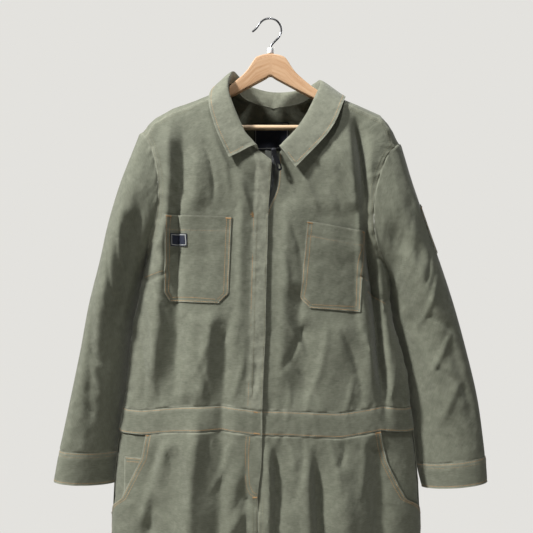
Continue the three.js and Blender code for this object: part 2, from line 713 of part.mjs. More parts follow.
// Legs. The fronts stop at the slant, and a facing lies behind the opening.
const LEG_ROWS = [0.006, 0.4, 0.9, 1.5, 2.1, 2.6, 3.1, 3.6, 4.1, 4.5, 5, 5.6, 6.3, 7.1, 8, 9];
const FACING_LIFT = -4.4;
const FACING_UNDER = 13; // how far a facing runs on behind the front
const COIN_LIFT = -2.6;
for (const side of SIDES) {
  const surface = on.leg(side, "front");
  const slantEnd = legStation(side, SLANT[side].at(-1)[1]);
  const rows = LEG_ROWS.map((v) => (Math.abs(v - slantEnd) < 0.3 ? slantEnd : v));
  const last = rows.length - 1;
  const front = new Sheet(CLOTH);
  const row = (r) => rows[Math.round(r * last)];
  const edge = (v) => Math.min(OUTER, slantShare(side, v));
  front.lay(surface, last, 9, (r, c) => [mix(INNER, edge(row(r)), c), row(r)], -OUT[side]);
  add(`leg_front_${side}`, front.geometry(), OLIVE);
  const rear = new Sheet(CLOTH);
  const behind = on.leg(side, "back");
  rear.lay(behind, last, 9, (r, c) => [across(c), row(r)], OUT[side]);
  add(`leg_back_${side}`, rear.geometry(), OLIVE);
  const facing = new Sheet(PATCH);
  const facingGrid = (r, c) => {
    const v = mix(0.01, slantEnd + 0.1, r);
    return [mix(Math.min(0.86, slantShare(side, v, -OUT[side] * FACING_UNDER)), OUTER, c), v];
  };
  facing.lay(surface, 8, 4, facingGrid, -OUT[side], FACING_LIFT);
  add(`pocket_facing_${side}`, facing.geometry(), OLIVE);
}

// Solves for the surface's coordinates at a given x and z, from a first guess.
function locate(surface, x, z, guess) {
  let [a, b] = guess;
  for (let i = 0; i < 12; i++) {
    const e = 1e-3;
    const p = surface(a, b);
    const pa = surface(a + e, b).sub(p).divideScalar(e);
    const pb = surface(a, b + e).sub(p).divideScalar(e);
    const det = pa.x * pb.z - pb.x * pa.z;
    const [dx, dz] = [x - p.x, z - p.z];
    a += clamp((dx * pb.z - pb.x * dz) / det, -0.2, 0.2);
    b += clamp((pa.x * dz - dx * pa.z) / det, -1, 1);
  }
  return [a, b];
}

// A patch between two edges of [share down, x, z] points, laid on a surface.
function patchOn(surface, leftEdge, rightEdge, rows, columns, guess, thickness, out, lift) {
  const sheet = new Sheet(thickness);
  const pick = (edge, r, i) => along(edge.map((point) => [point[0], point[i]]), r);
  const grid = (r, c) => {
    const x = mix(pick(leftEdge, r, 1), pick(rightEdge, r, 1), c);
    const z = mix(pick(leftEdge, r, 2), pick(rightEdge, r, 2), c);
    return locate(surface, x, z, guess);
  };
  return sheet.lay(surface, rows, columns, grid, out, lift).geometry();
}

// Chest pockets and their label
const CHEST_POCKET = {
  right: {
    left: [
      [0, -173, -368],
      [0.875, -176, -499],
      [1, -167, -515],
    ],
    right: [
      [0, -61, -372],
      [0.875, -66, -502],
      [1, -83, -518],
    ],
  },
  left: {
    left: [
      [0, 67, -379],
      [0.875, 55, -508],
      [1, 71, -526],
    ],
    right: [
      [0, 163, -396],
      [0.875, 158, -517],
      [1, 157, -533],
    ],
  },
};
for (const side of SIDES) {
  const { left, right } = CHEST_POCKET[side];
  const pocket = patchOn(on.bodice(side), left, right, 9, 8, [0.5, 4], PATCH, OUT[side], LIFT);
  add(`chest_pocket_${side}`, pocket, OLIVE);
}
const labelLeft = [
  [0, -167, -399],
  [1, -167, -420],
];
const labelRight = [
  [0, -136, -400],
  [1, -136, -421],
];
const labelOn = on.bodice("right");
const labelLift = LIFT + LABEL_LIFT;
const labelGuess = [0.7, 5];
const chestLabel = patchOn(labelOn, labelLeft, labelRight, 3, 4, labelGuess, LABEL, OUT.right, labelLift);
add("chest_label", chestLabel, NAVY);

// The neck label hangs inside the back of the yoke.
const insideBack = (u, v) => bodice(u < 0 ? "right" : "left", Math.abs(u), v);
const neckLeft = [
  [0, -24, -192],
  [1, -24, -240],
];
const neckRight = [
  [0, 38, -190],
  [1, 38, -239],
];
const neckLabel = patchOn(insideBack, neckLeft, neckRight, 4, 5, [0, 13.4], LABEL, 1, 0);
neckLabel.translate(0, -NECK_LABEL_OFF, 0);
add("neck_label", neckLabel, NAVY);

// The coin pocket lies on the facing, beside the slant.
const coin = new Sheet(1);
coin.lay(
  on.leg("right", "front"),
  5,
  3,
  (r, c) => {
    const v = mix(legStation("right", COIN.top), legStation("right", COIN.bottom), r);
    const far = shareAt(on.leg("right", "front"), v, COIN.far);
    const near = slantShare("right", v, COIN.near);
    return [mix(near, Math.max(far, slantShare("right", v, -COIN.least)), c), v];
  },
  -OUT.right,
  COIN_LIFT,
);
add("coin_pocket", coin.geometry(), OLIVE_DEEP);

// Sleeves and cuffs
for (const side of SIDES) {
  const surface = (turn, w) => sleeve(side, turn * 360, w);
  const tube = new Sheet(CLOTH);
  tube.lay(surface, 16, 14, (r, c) => [c, mix(0, CUFF_TOP - CUFF_STEP, r)], OUT[side]);
  add(`sleeve_${side}`, tube.geometry(), OLIVE);
  const cuff = new Sheet(DOUBLE);
  cuff.lay(surface, 1, 14, (r, c) => [c, mix(CUFF_TOP + CUFF_STEP, CUFF_END, r)], OUT[side]);
  add(`cuff_${side}`, cuff.geometry(), OLIVE);
}
const SLEEVE_POCKET = { from: -38, to: 26, top: 2.05, bottom: 3.62, lift: 2.2 };
const sleevePocket = new Sheet(PATCH);
const armSurface = (angle, w) => sleeve("left", angle, w);
const pocketGrid = (r, c) => [
  mix(SLEEVE_POCKET.from, SLEEVE_POCKET.to, c),
  mix(SLEEVE_POCKET.top, SLEEVE_POCKET.bottom, r),
];
sleevePocket.lay(armSurface, 8, 6, pocketGrid, OUT.left, SLEEVE_POCKET.lift);
add("sleeve_pocket", sleevePocket.geometry(), OLIVE_DEEP);

// Collar
const leaf = new Sheet(DOUBLE);
leaf.lay(collar, 24, 8, (r, c) => [r * (COLLAR.length - 1), c], 1);
add("collar", leaf.geometry(), OLIVE);

// The zip's tape lies edge to edge with the left front, behind the right one.
const FLY_STATION = 1.7; // of the legs, at the fly's end
const TAPE_GAP = 0.7; // from the tape's middle line to the left front's edge
const tape = new Sheet(TAPE_WALL);
// A surface's plane carried on past the left front's edge, by a distance across in millimetres.
const beside = (surface) => (distance, v) => {
  const sample = 0.02;
  const perShare = (surface(sample, v).x - surface(0, v).x) / sample;
  return surface(distance / perShare, v);
};
const tapeRows = (surface, from, to, rows, out) =>
  tape.lay(beside(surface), rows, 2, (r, c) => [mix(-TAPE_WIDTH, -TAPE_GAP, c), mix(from, to, r)], out);
tapeRows(on.bodice("left"), FRONT_NECK - 0.03, 0, 14, OUT.left);
tapeRows(on.waist("left", "front"), 0, 1, 1, -OUT.left);
tapeRows(on.leg("left", "front"), 0, FLY_STATION, 3, -OUT.left);
add("zip_tape", tape.geometry(), TAPE);

// Slider and pull
const SLIDER = vector(10.5, -57.9, -262);
const LEAN = (19 * Math.PI) / 180; // of the hanging pull, to the viewer's right
const PULL = { length: 34, half: 4, thick: 1.6, top: 0.7, hinge: vector(10.5, -63.2, -263) };
const sliderRings = [
  [-7, 3.4, 2.6],
  [-5, 4.3, 3.6],
  [3, 4.6, 3.8],
  [6, 3.2, 2.8],
].map(([dz, wide, deep]) =>
  ringAt(SLIDER.clone().add(vector(0, 0, dz)), vector(wide, 0, 0), vector(0, deep, 0), 12, 0.6),
);
add("zip_slider", loft(sliderRings), GUNMETAL);
const tab = new THREE.Shape();
tab.moveTo(-2.6, PULL.top);
tab.lineTo(-2.6, -6);
tab.lineTo(-PULL.half, -14);
tab.lineTo(-PULL.half, 4 - PULL.length);
tab.absarc(0, 4 - PULL.length, PULL.half, Math.PI, 2 * Math.PI, false);
tab.lineTo(PULL.half, -14);
tab.lineTo(2.6, -6);
tab.lineTo(2.6, PULL.top);
const hole = new THREE.Path();
hole.absellipse(0, 8 - PULL.length, 1.9, 4.6, 0, 2 * Math.PI, true);
tab.holes.push(hole);
const pull = new THREE.ExtrudeGeometry(tab, {
  depth: PULL.thick,
  bevelEnabled: false,
  curveSegments: 8,
});
pull.translate(0, 0, -PULL.thick / 2);
pull.rotateX(Math.PI / 2);
pull.rotateY(-LEAN);
pull.translate(PULL.hinge.x - CROOK.x, PULL.hinge.y, PULL.hinge.z - CROOK.z);
add("zip_pull", pull, GUNMETAL);

// Hanger
const ARM_TOP = [
  [0, -77.5],
  [13, -79],
  [26, -83.5],
  [31, -91],
  [38, -103],
  [46, -113.5],
  [56, -122.5],
  [71, -136],
  [84, -145],
  [104, -158],
  [134, -171],
  [170, -187],
  [190, -199],
  [197, -207],
  [201, -212],
];
const ARM_UNDER = [
  [0, -117],
  [10, -122.5],
  [71, -156],
  [127, -185],
  [170, -206],
  [190, -215],
  [197, -219],
  [201, -217],
];
const ARM_THICK = [
  [0, 7],
  [60, 7.5],
  [150, 9],
  [195, 9],
  [201, 6],
];
const armY = (dx) => -26 * (dx / 206) ** 2;
const armAt = [0, 6, 13, 20, 26, 31, 38, 46, 56, 71, 84, 104, 119, 134, 152, 170, 181, 190, 197, 201];
const armXs = [...armAt.slice(1).reverse().map((dx) => -dx), ...armAt];
const armRings = armXs.map((x) => {
  const dx = Math.abs(x);
  const [top, under] = [along(ARM_TOP, dx), along(ARM_UNDER, dx)];
  const centre = vector(HANGER_X + x, armY(dx), (top + under) / 2);
  const thick = vector(0, along(ARM_THICK, dx), 0);
  return ringAt(centre, thick, vector(0, 0, (top - under) / 2), 10, 0.7);
});
const barRings = (radius, half, count) =>
  [-half, half].map((x) =>
    ringAt(vector(HANGER_X + x, BAR.y, BAR.z), vector(0, radius, 0), vector(0, 0, radius), count),
  );
const solidOf = (geometry) =>
  new wasm.Manifold(
    new wasm.Mesh({
      numProp: 3,
      vertProperties: new Float32Array(geometry.attributes.position.array),
      triVerts: new Uint32Array(geometry.index.array),
    }),
  );
const BAR_PLAY = 0.35; // between the bar and its blind holes in the arms
const drill = loft(barRings(BAR.radius + BAR_PLAY, BAR.half + BAR_PLAY, 20));
const arms = solidOf(loft(armRings)).subtract(solidOf(drill));
const cut = arms.getMesh();
const armGeometry = new THREE.BufferGeometry();
const cutPoints = new Float32Array(cut.vertProperties);
armGeometry.setAttribute("position", new THREE.BufferAttribute(cutPoints, 3));
armGeometry.setIndex([...cut.triVerts]);
armGeometry.computeVertexNormals();
add("hanger_arms", armGeometry, BEECH);
add("hanger_bar", loft(barRings(BAR.radius, BAR.half, 20)), BEECH);

const ferruleRings = [
  [-77.2, 6.1],
  [-68.5, 6.1],
  [-66.6, 5],
].map(([z, radius]) => ringAt(vector(HANGER_X, 0, z), vector(radius, 0, 0), vector(0, radius, 0), 20));
add("hook_ferrule", loft(ferruleRings), PLASTIC);

// The hook's centre line, from its free end over the crook to the ferrule.
const HOOK_LINE = [
  [-27, -37],
  [-22.5, -33.5],
  [-18.7, -29.5],
  [-16, -24.5],
  [-11.7, -18.8],
  [-5, -14.2],
  [3.5, -12.5],
  [12, -14.2],
  [18.7, -18.8],
  [23.5, -26.5],
  [25, -34],
  [23, -42.5],
  [18, -49.5],
  [12.5, -54.5],
  [8, -59.3],
  [5.4, -63.5],
  [5, -66],
];
add("hanger_hook", sweep(HOOK_LINE.map(([x, z]) => vector(x, 0, z)), WIRE, 34, 8), STEEL);

export default suit;
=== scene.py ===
"""Dresses a long-sleeved cotton boiler suit on a wooden clothes hanger.

Every cloth piece is a thin shell laid on the same surfaces as its solid: the bodice, the trousers,
the collar and the sleeves. Sizes are in millimetres in one table frame, in which the origin of the
object, the inside of the hook's crook, is at CROOK. Names say the wearer's right and left, so a
right piece lies at -X, on the viewer's left.
"""

import logging
import math
from dataclasses import dataclass, field
from enum import Enum
from typing import Callable, Optional, Sequence

import bpy
import numpy as np
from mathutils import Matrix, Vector


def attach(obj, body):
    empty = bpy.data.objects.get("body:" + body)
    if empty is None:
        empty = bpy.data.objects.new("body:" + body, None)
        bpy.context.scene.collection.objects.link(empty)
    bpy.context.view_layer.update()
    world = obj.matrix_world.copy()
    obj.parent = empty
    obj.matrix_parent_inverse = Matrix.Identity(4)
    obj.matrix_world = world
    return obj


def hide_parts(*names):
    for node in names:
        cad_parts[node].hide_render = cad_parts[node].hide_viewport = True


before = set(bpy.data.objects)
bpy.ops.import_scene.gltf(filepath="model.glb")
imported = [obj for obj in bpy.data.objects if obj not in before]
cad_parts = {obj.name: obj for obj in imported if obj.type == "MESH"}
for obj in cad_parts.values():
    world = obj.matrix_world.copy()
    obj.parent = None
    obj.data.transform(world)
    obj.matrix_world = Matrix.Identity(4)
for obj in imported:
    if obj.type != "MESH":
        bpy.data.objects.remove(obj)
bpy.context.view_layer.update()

log = logging.getLogger("boiler_suit")

MM = 0.001
CROOK = np.array([3.5, 0.0, -14.2])
UNDERLAP = 3.8
FLY_END = -835.0
SEED = 41

Array = np.ndarray
Surface = Callable[[Array, Array], Array]


class Side(Enum):
    """The wearer's side."""

    RIGHT = "right"
    LEFT = "left"

    @property
    def out(self) -> int:
        """Sign that turns a bodice surface's normal outwards."""
        return -1 if self is Side.RIGHT else 1


class Face(Enum):
    """The front or the back of the garment."""

    FRONT = "front"
    BACK = "back"


class Edge(Enum):
    """How a panel's edge is finished."""

    SEAM = "seam"
    FREE = "free"
    FLUSH = "flush"


def smooth(low: float, high: float, value: Array) -> Array:
    """Eases from 0 at low to 1 at high."""
    t = np.clip((value - low) / (high - low), 0, 1)
    return t * t * (3 - 2 * t)


def mix(a: Array, b: Array, t: Array) -> Array:
    """Blends from a, at t 0, to b, at t 1."""
    return a + (b - a) * t


def bell(distance: Array) -> Array:
    """A smooth hump, 1 in the middle and near 0 beyond 2."""
    return np.exp(-distance * distance)


@dataclass(frozen=True)
class Stations:
    """A table of sections along a surface, read between its rows by a cubic.

    corners holds, for a column, the stations at which its curve has a corner.
    """

    names: tuple[str, ...]
    rows: tuple[tuple[float, ...], ...]
    corners: dict[str, tuple[int, ...]] = field(default_factory=dict)

    def at(self, name: str, station: Array) -> Array:
        """Reads one column.

        Args:
            name: The column's name.
            station: Station numbers, whole or between two rows.

        Returns:
            The column's values there.
        """
        values = np.array([row[self.names.index(name)] for row in self.rows], float)
        last = len(values) - 1
        broken = np.isin(np.arange(last + 1), self.corners.get(name, ()))
        i = np.clip(np.floor(station).astype(int), 0, last - 1)
        t = station - i
        p1, p2 = values[i], values[i + 1]
        p0 = np.where((i > 0) & ~broken[i], values[np.maximum(i - 1, 0)], 2 * p1 - p2)
        p3 = np.where((i < last - 1) & ~broken[i + 1], values[np.minimum(i + 2, last)], 2 * p2 - p1)
        t2, t3 = t * t, t * t * t
        ends = (2 * t3 - 3 * t2 + 1) * p1 + (3 * t2 - 2 * t3) * p2
        return ends + ((t3 - 2 * t2 + t) * (p2 - p0) + (t3 - t2) * (p3 - p1)) / 2


# Bodice stations run up the front, over the shoulder and down the back.
FRONT_ARMPIT, FRONT_NECK, FRONT_YOKE, SHOULDER = 4, 8, 10, 11
BACK_NECK, BACK_YOKE, BACK_ARMPIT, BACK_WAIST = 13, 14, 17, 21
BODICE_NAMES = ("xi", "yi", "zi", "xo", "yo", "zo", "round", "hug", "drop")
BODICE_CORNERS = {
    **{name: (FRONT_NECK, BACK_NECK) for name in ("xi", "yi", "zi")},
    **{name: (FRONT_ARMPIT, BACK_ARMPIT) for name in ("xo", "yo", "zo", "round")},
}
BODICE = {
    Side.RIGHT: Stations(
        BODICE_NAMES,
        (
            (-9, -60, -696, -250, -2, -696, 1, 0, 0),
            (-7, -58, -640, -243, -2, -640, 1, 0, 0),
            (-4, -56, -580, -238, -3, -580, 1, 0, 0),
            (-3, -55, -520, -227, -6, -520, 1, 0, 0),
            (-1, -54, -445, -209, -14, -436, 1, 0, 0),
            (0, -54, -410, -201, -36, -406, 0.6, 0, 0),
            (1, -54, -366, -189, -49, -366, 0.4, 0, 0),
            (4, -55, -320, -186, -54, -322, 0.3, 0, 0),
            (7, -58, -277, -190, -53, -284, 0.2, 0, 0),
            (-46, -50, -230, -199, -49, -254, 0.1, 0.5, 44),
            (-69, -34, -162, -211, -42, -233, 0, 1, 14),
            (-66, 0, -131, -221, -22, -226, 0, 1, 0),
            (-40, 30, -152, -217, 2, -240, 0, 1, 14),
            (10, 42, -166, -207, 12, -266, 0.1, 0.2, 60),
            (8, 41, -270, -196, 15, -302, 0.2, 0, 0),
            (6, 38, -350, -189, 14, -352, 0.4, 0, 0),
            (4, 36, -410, -198, 4, -404, 0.6, 0, 0),
            (2, 36, -452, -209, -14, -436, 1, 0, 0),
            (0, 36, -520, -227, -6, -520, 1, 0, 0),
            (-2, 37, -580, -238, -3, -580, 1, 0, 0),
            (-5, 38, -640, -243, -2, -640, 1, 0, 0),
            (-8, 40, -696, -250, -2, -696, 1, 0, 0),
        ),
        BODICE_CORNERS,
    ),
    Side.LEFT: Stations(
        BODICE_NAMES,
        (
            (-19, -60, -696, 247, -2, -696, 1, 0, 0),
            (-17, -58, -640, 242, -2, -640, 1, 0, 0),
            (-14, -56, -580, 227, -3, -583, 1, 0, 0),
            (-13, -55, -520, 213, -6, -524, 1, 0, 0),
            (-12, -54, -445, 211, -14, -460, 1, 0, 0),
            (-8, -54, -410, 193, -38, -435, 0.6, 0, 0),
            (-1, -54, -366, 181, -49, -394, 0.4, 0, 0),
            (17, -55, -320, 181, -54, -340, 0.3, 0, 0),
            (20, -57, -262, 191, -53, -298, 0.2, 0, 0),
            (56, -49, -228, 204, -49, -268, 0.1, 0.5, 44),
            (86, -34, -172, 219, -42, -252, 0, 1, 14),
            (96, 0, -143, 231, -22, -246, 0, 1, 0),
            (62, 30, -158, 224, 2, -260, 0, 1, 14),
            (10, 42, -166, 210, 12, -286, 0.1, 0.2, 60),
            (8, 41, -270, 197, 15, -320, 0.2, 0, 0),
            (6, 38, -350, 188, 14, -374, 0.4, 0, 0),
            (4, 36, -410, 198, 4, -430, 0.6, 0, 0),
            (2, 36, -452, 211, -14, -460, 1, 0, 0),
            (0, 36, -520, 213, -6, -524, 1, 0, 0),
            (-2, 37, -580, 227, -3, -583, 1, 0, 0),
            (-5, 38, -640, 242, -2, -640, 1, 0, 0),
            (-8, 40, -696, 247, -2, -696, 1, 0, 0),
        ),
        BODICE_CORNERS,
    ),
}

# The shoulder's top line: distances to the side, and heights there.
SHOULDER_LINE = {
    Side.RIGHT: ((60, 99, 129, 165, 194, 207, 221), (-128, -151, -164, -178, -196, -209, -226)),
    Side.LEFT: ((88, 132, 157, 195, 208, 222, 231), (-139, -160, -171, -190, -206, -230, -246)),
}

LEG_NAMES = ("z", "fly", "rear", "front", "back", "xo", "deep", "round")
LEG_CORNERS = {"front": (6,), "back": (6,)}
LEG = {
    Side.RIGHT: Stations(
        LEG_NAMES,
        (
            (-737, -9, -9, -61, 41, -257, 0, 0),
            (-790, -11, -12.5, -63, 44, -263, 0, 0),
            (-835, -16, -16, -62, 46, -266, 1, 0),
            (-900, -16, -16, -58, 46, -268, 6, 0.05),
            (-965, -16, -16, -42, 38, -268, 20, 0.35),
            (-1028, -19, -19, -8, 9, -267, 50, 0.9),
            (-1120, -24, -24, 0, 0, -264, 56, 1),
            (-1300, -30, -30, 0, 0, -258, 54, 1),
            (-1520, -36, -36, 0, 0, -250, 49, 1),
            (-1768, -42, -42, 0, 0, -241, 44, 1),
        ),
        LEG_CORNERS,
    ),
    Side.LEFT: Stations(
        LEG_NAMES,
        (
            (-737, -19, -9, -61, 41, 253, 0, 0),
            (-790, -21, -12.5, -63, 44, 258, 0, 0),
            (-835, -16, -16, -62, 46, 261, 1, 0),
            (-900, -16, -16, -58, 46, 263, 6, 0.05),
            (-965, -16, -16, -42, 38, 263, 20, 0.35),
            (-1028, -13, -13, -8, 9, 262, 50, 0.9),
            (-1120, -8, -8, 0, 0, 259, 56, 1),
            (-1300, -2, -2, 0, 0, 253, 54, 1),
            (-1520, 4, 4, 0, 0, 245, 49, 1),
            (-1768, 10, 10, 0, 0, 236, 44, 1),
        ),
        LEG_CORNERS,
    ),
}
HEM_STATION = 9

# Large hanging folds: top and bottom points, rise out of the cloth, and widths of the two flanks.
Fold = tuple[float, float, float, float, float, float, float]
FOLDS: dict[Face, tuple[Fold, ...]] = {
    Face.FRONT: (
        (-166, -200, -196, -705, 13, 21, 14),
        (-144, -200, -158, -705, -9.5, 15, 14),
        (-118, -240, -128, -690, 6, 18, 24),
        (-86, -505, -116, -705, 7, 22, 12),
        (-70, -505, -92, -1250, -8, 18, 12),
        (-40, -270, -56, -640, 5, 18, 14),
        (-36, -800, -44, -1050, -7, 10, 9),
        (-113, -700, -152, -1150, 14, 24, 14),
        (-166, -742, -216, -900, 9, 9, 16),
        (-182, -742, -226, -1100, -8, 14, 12),
        (-128, -900, -170, -1500, -10, 22, 18),
        (-110, -800, -120, -1600, 11, 30, 24),
        (134, -195, 184, -715, 6, 20, 6),
        (150, -180, 200, -730, -20, 7, 11),
        (170, -230, 216, -730, 9, 10, 13),
        (108, -230, 128, -660, 5, 22, 20),
        (62, -480, 60, -700, -8, 30, 22),
        (34, -330, 22, -690, 5, 11, 20),
        (1, -742, 2, -1040, 6, 9, 5),
        (13, -742, 15, -1100, -8, 6, 12),
        (66, -742, 84, -1300, 8, 24, 7),
        (80, -742, 98, -1400, -12, 8, 16),
        (182, -742, 190, -960, -10, 14, 16),
        (128, -760, 140, -1600, 12, 30, 28),
        (190, -900, 186, -1500, -10, 26, 22),
        (-66, -1150, -92, -1768, -8, 24, 18),
        (60, -1180, 78, -1768, 7, 22, 20),
    ),
    Face.BACK: (
        (-160, -320, -176, -700, -12, 20, 16),
        (-122, -300, -130, -1200, 9, 20, 20),
        (-70, -320, -62, -760, -10, 24, 10),
        (-12, -320, -6, -700, 7, 22, 30),
        (64, -320, 58, -730, -11, 10, 26),
        (118, -320, 134, -1250, 9, 26, 14),
        (162, -350, 182, -720, -12, 12, 24),
        (-84, -760, -110, -1600, -12, 26, 16),
        (-196, -760, -200, -1500, 8, 22, 18),
        (70, -760, 92, -1600, -13, 16, 26),
        (196, -780, 196, -1500, 8, 22, 22),
        (-150, -1100, -160, -1768, -8, 22, 18),
        (150, -1150, 150, -1768, -8, 18, 22),
    ),
}

# Small creases: two ends, rise, and half-width. They fade towards both ends.
Crease = tuple[float, float, float, float, float, float]
CREASES: dict[Face, tuple[Crease, ...]] = {
    Face.FRONT: (
        (-44, -836, -12, -866, -3.4, 6),
        (-168, -463, -226, -480, -2.4, 2.6),
        (146, -468, 176, -484, -2.2, 2.4),
        (160, -492, 216, -529, -2.4, 2.6),
        (-100, -232, -64, -330, 2.4, 7),
        (-112, -240, -92, -352, -2.6, 6),
        (-70, -282, -28, -372, 2.0, 6),
        (-48, -288, -6, -350, -1.8, 5),
        (-184, -288, -140, -345, 2.2, 6),
        (-186, -330, -150, -372, -2.0, 5),
        (-200, -420, -150, -548, 2.6, 7),
        (-205, -470, -172, -560, -2.4, 5),
        (-214, -500, -196, -640, 2.6, 8),
        (-226, -560, -212, -690, -2.6, 6),
        (-96, -530, -124, -640, 2.0, 7),
        (-60, -520, -90, -606, -1.8, 5),
        (-40, -560, -64, -690, 2.2, 6),
        (-126, -590, -100, -690, -2.2, 6),
        (-160, -600, -142, -694, 2.2, 6),
        (-196, -640, -178, -696, -2.0, 5),
        (-22, -600, -34, -694, -1.8, 4),
        (44, -290, 88, -372, 2.2, 6),
        (66, -262, 128, -372, -2.4, 6),
        (104, -236, 150, -330, 2.4, 7),
        (178, -296, 150, -372, -2.2, 5),
        (182, -340, 160, -430, 2.4, 6),
        (36, -380, 60, -500, -2.0, 6),
        (12, -400, 34, -520, 1.8, 6),
        (12, -520, 70, -640, 2.4, 6),
        (66, -530, 14, -640, -2.4, 6),
        (22, -600, 84, -690, -2.0, 5),
        (100, -545, 60, -690, 2.2, 7),
        (120, -560, 160, -690, -2.6, 7),
        (150, -540, 178, -660, 2.4, 6),
        (198, -520, 176, -600, 2.0, 5),
        (206, -480, 190, -560, -2.2, 5),
        (218, -590, 202, -694, 2.4, 6),
        (140, -640, 128, -700, 2.0, 5),
        (36, -650, 30, -700, 1.8, 4),
        (-60, -745, -96, -830, 2.2, 6),
        (-100, -742, -118, -820, -2.4, 5),
        (-150, -742, -128, -850, 2.4, 6),
        (-182, -745, -160, -810, -2.2, 5),
        (-34, -760, -66, -880, -1.8, 5),
        (-30, -850, -110, -930, 2.4, 8),
        (-28, -900, -120, -960, -2.4, 7),
        (-24, -960, -140, -1010, 2.6, 8),
        (-190, -860, -120, -960, 2.0, 7),
        (32, -742, 44, -800, 2.2, 5),
        (58, -745, 36, -860, -2.2, 6),
        (100, -742, 118, -840, 2.4, 6),
        (130, -742, 112, -800, -2.2, 5),
        (160, -742, 148, -850, 2.4, 7),
        (8, -800, 60, -900, -2.0, 6),
        (-6, -880, 90, -950, 2.4, 8),
        (-6, -930, 120, -990, -2.4, 7),
        (190, -880, 120, -980, 2.0, 7),
        (-60, -1080, -150, -1130, 2.0, 9),
        (-230, -1150, -150, -1210, 2.2, 9),
        (-70, -1250, -180, -1280, -2.2, 8),
        (-220, -1290, -120, -1350, 2.4, 9),
        (-60, -1420, -170, -1460, 2.0, 9),
        (-230, -1560, -140, -1610, -2.0, 8),
        (-60, -1660, -140, -1700, 2.2, 8),
        (40, -1090, 140, -1130, 2.0, 9),
        (230, -1160, 140, -1220, 2.2, 9),
        (40, -1260, 150, -1290, -2.2, 8),
        (220, -1310, 110, -1360, 2.4, 9),
        (40, -1440, 150, -1470, 2.0, 9),
        (210, -1570, 120, -1620, -2.0, 8),
        (40, -1670, 110, -1710, 2.2, 8),
    ),
    Face.BACK: (
        (-170, -320, -110, -420, 2.2, 7),
        (-184, -360, -140, -470, -2.2, 6),
        (-100, -330, -60, -430, 2.0, 7),
        (-40, -330, -20, -440, -1.8, 6),
        (20, -320, 44, -420, 2.0, 7),
        (90, -330, 70, -440, -2.0, 6),
        (160, -340, 120, -440, 2.2, 7),
        (182, -380, 150, -480, -2.2, 6),
        (-200, -500, -160, -620, 2.4, 7),
        (-130, -520, -100, -640, -2.2, 6),
        (-60, -540, -80, -680, 2.2, 7),
        (0, -520, 20, -640, -2.0, 7),
        (70, -560, 44, -690, 2.2, 7),
        (120, -520, 150, -650, -2.4, 6),
        (190, -520, 170, -640, 2.4, 7),
        (-170, -640, -150, -694, 2.0, 5),
        (100, -640, 90, -694, 2.0, 5),
        (-30, -860, -140, -940, 2.6, 8),
        (-26, -920, -150, -980, -2.4, 8),
        (0, -860, 110, -940, 2.6, 8),
        (-6, -920, 130, -980, -2.4, 8),
        (-200, -760, -160, -860, 2.2, 7),
        (190, -760, 150, -860, 2.2, 7),
        (-70, -1100, -170, -1150, 2.2, 9),
        (-220, -1240, -120, -1300, 2.4, 9),
        (-60, -1340, -170, -1370, -2.2, 8),
        (-230, -1500, -130, -1560, 2.0, 9),
        (60, -1110, 160, -1160, 2.2, 9),
        (220, -1250, 110, -1310, 2.4, 9),
        (50, -1350, 160, -1380, -2.2, 8),
        (220, -1510, 120, -1570, 2.0, 9),
    ),
}

# Folds die away under the chest pockets: middle, half width and half height.
STIFF = ((-98, -444, 42, 84), (106, -456, 42, 86))


class Rumple:
    """Seeded smooth noise over the plane, for the small unevenness of worn cotton."""

    def __init__(self, seed: int, size: int = 97) -> None:
        """Draws the lattice of values from the seed."""
        self.size = size
        self.lattice = np.random.default_rng(seed).uniform(-1, 1, (size, size))

    def at(self, x: Array, y: Array) -> Array:
        """Reads the noise, whose lattice has a pitch of 1.

        Args:
            x: First coordinate.
            y: Second coordinate.

        Returns:
            Values from -1 to 1.
        """
        i, j = np.floor(x).astype(int), np.floor(y).astype(int)
        u, v = x - i, y - j
        u, v = u * u * (3 - 2 * u), v * v * (3 - 2 * v)
        i, j, k, m = i % self.size, j % self.size, (i + 1) % self.size, (j + 1) % self.size
        low = mix(self.lattice[i, j], self.lattice[k, j], u)
        high = mix(self.lattice[i, m], self.lattice[k, m], u)
        return mix(low, high, v)

    def ridged(self, x: Array, y: Array) -> Array:
        """Noise with soft valleys and narrow crests, from -1 to 1."""
        return 1 - 2 * np.sqrt(self.at(x, y) ** 2 + 0.004)


NOISE = Rumple(SEED)
FOLD_DEPTH = 1.15
CREASE_DEPTH = 1.65


def crease_rise(creases: Sequence[Crease], x: Array, z: Array) -> Array:
    """Height of the small creases at x, z."""
    rise = np.zeros_like(x)
    for x0, z0, x1, z1, height, wide in creases:
        dx, dz = x1 - x0, z1 - z0
        length = math.hypot(dx, dz)
        t = ((x - x0) * dx + (z - z0) * dz) / length**2
        bow = 0.07 * length * (1 - (2 * t - 1) ** 2)
        off = ((x - x0) * dz - (z - z0) * dx) / length + bow
        swell = np.clip(t * (1 - t) * 4, 0, 1) ** 0.8
        rise += height * np.exp(-np.abs(off / (wide * (0.4 + 0.4 * swell))) ** 1.4) * swell
    return rise


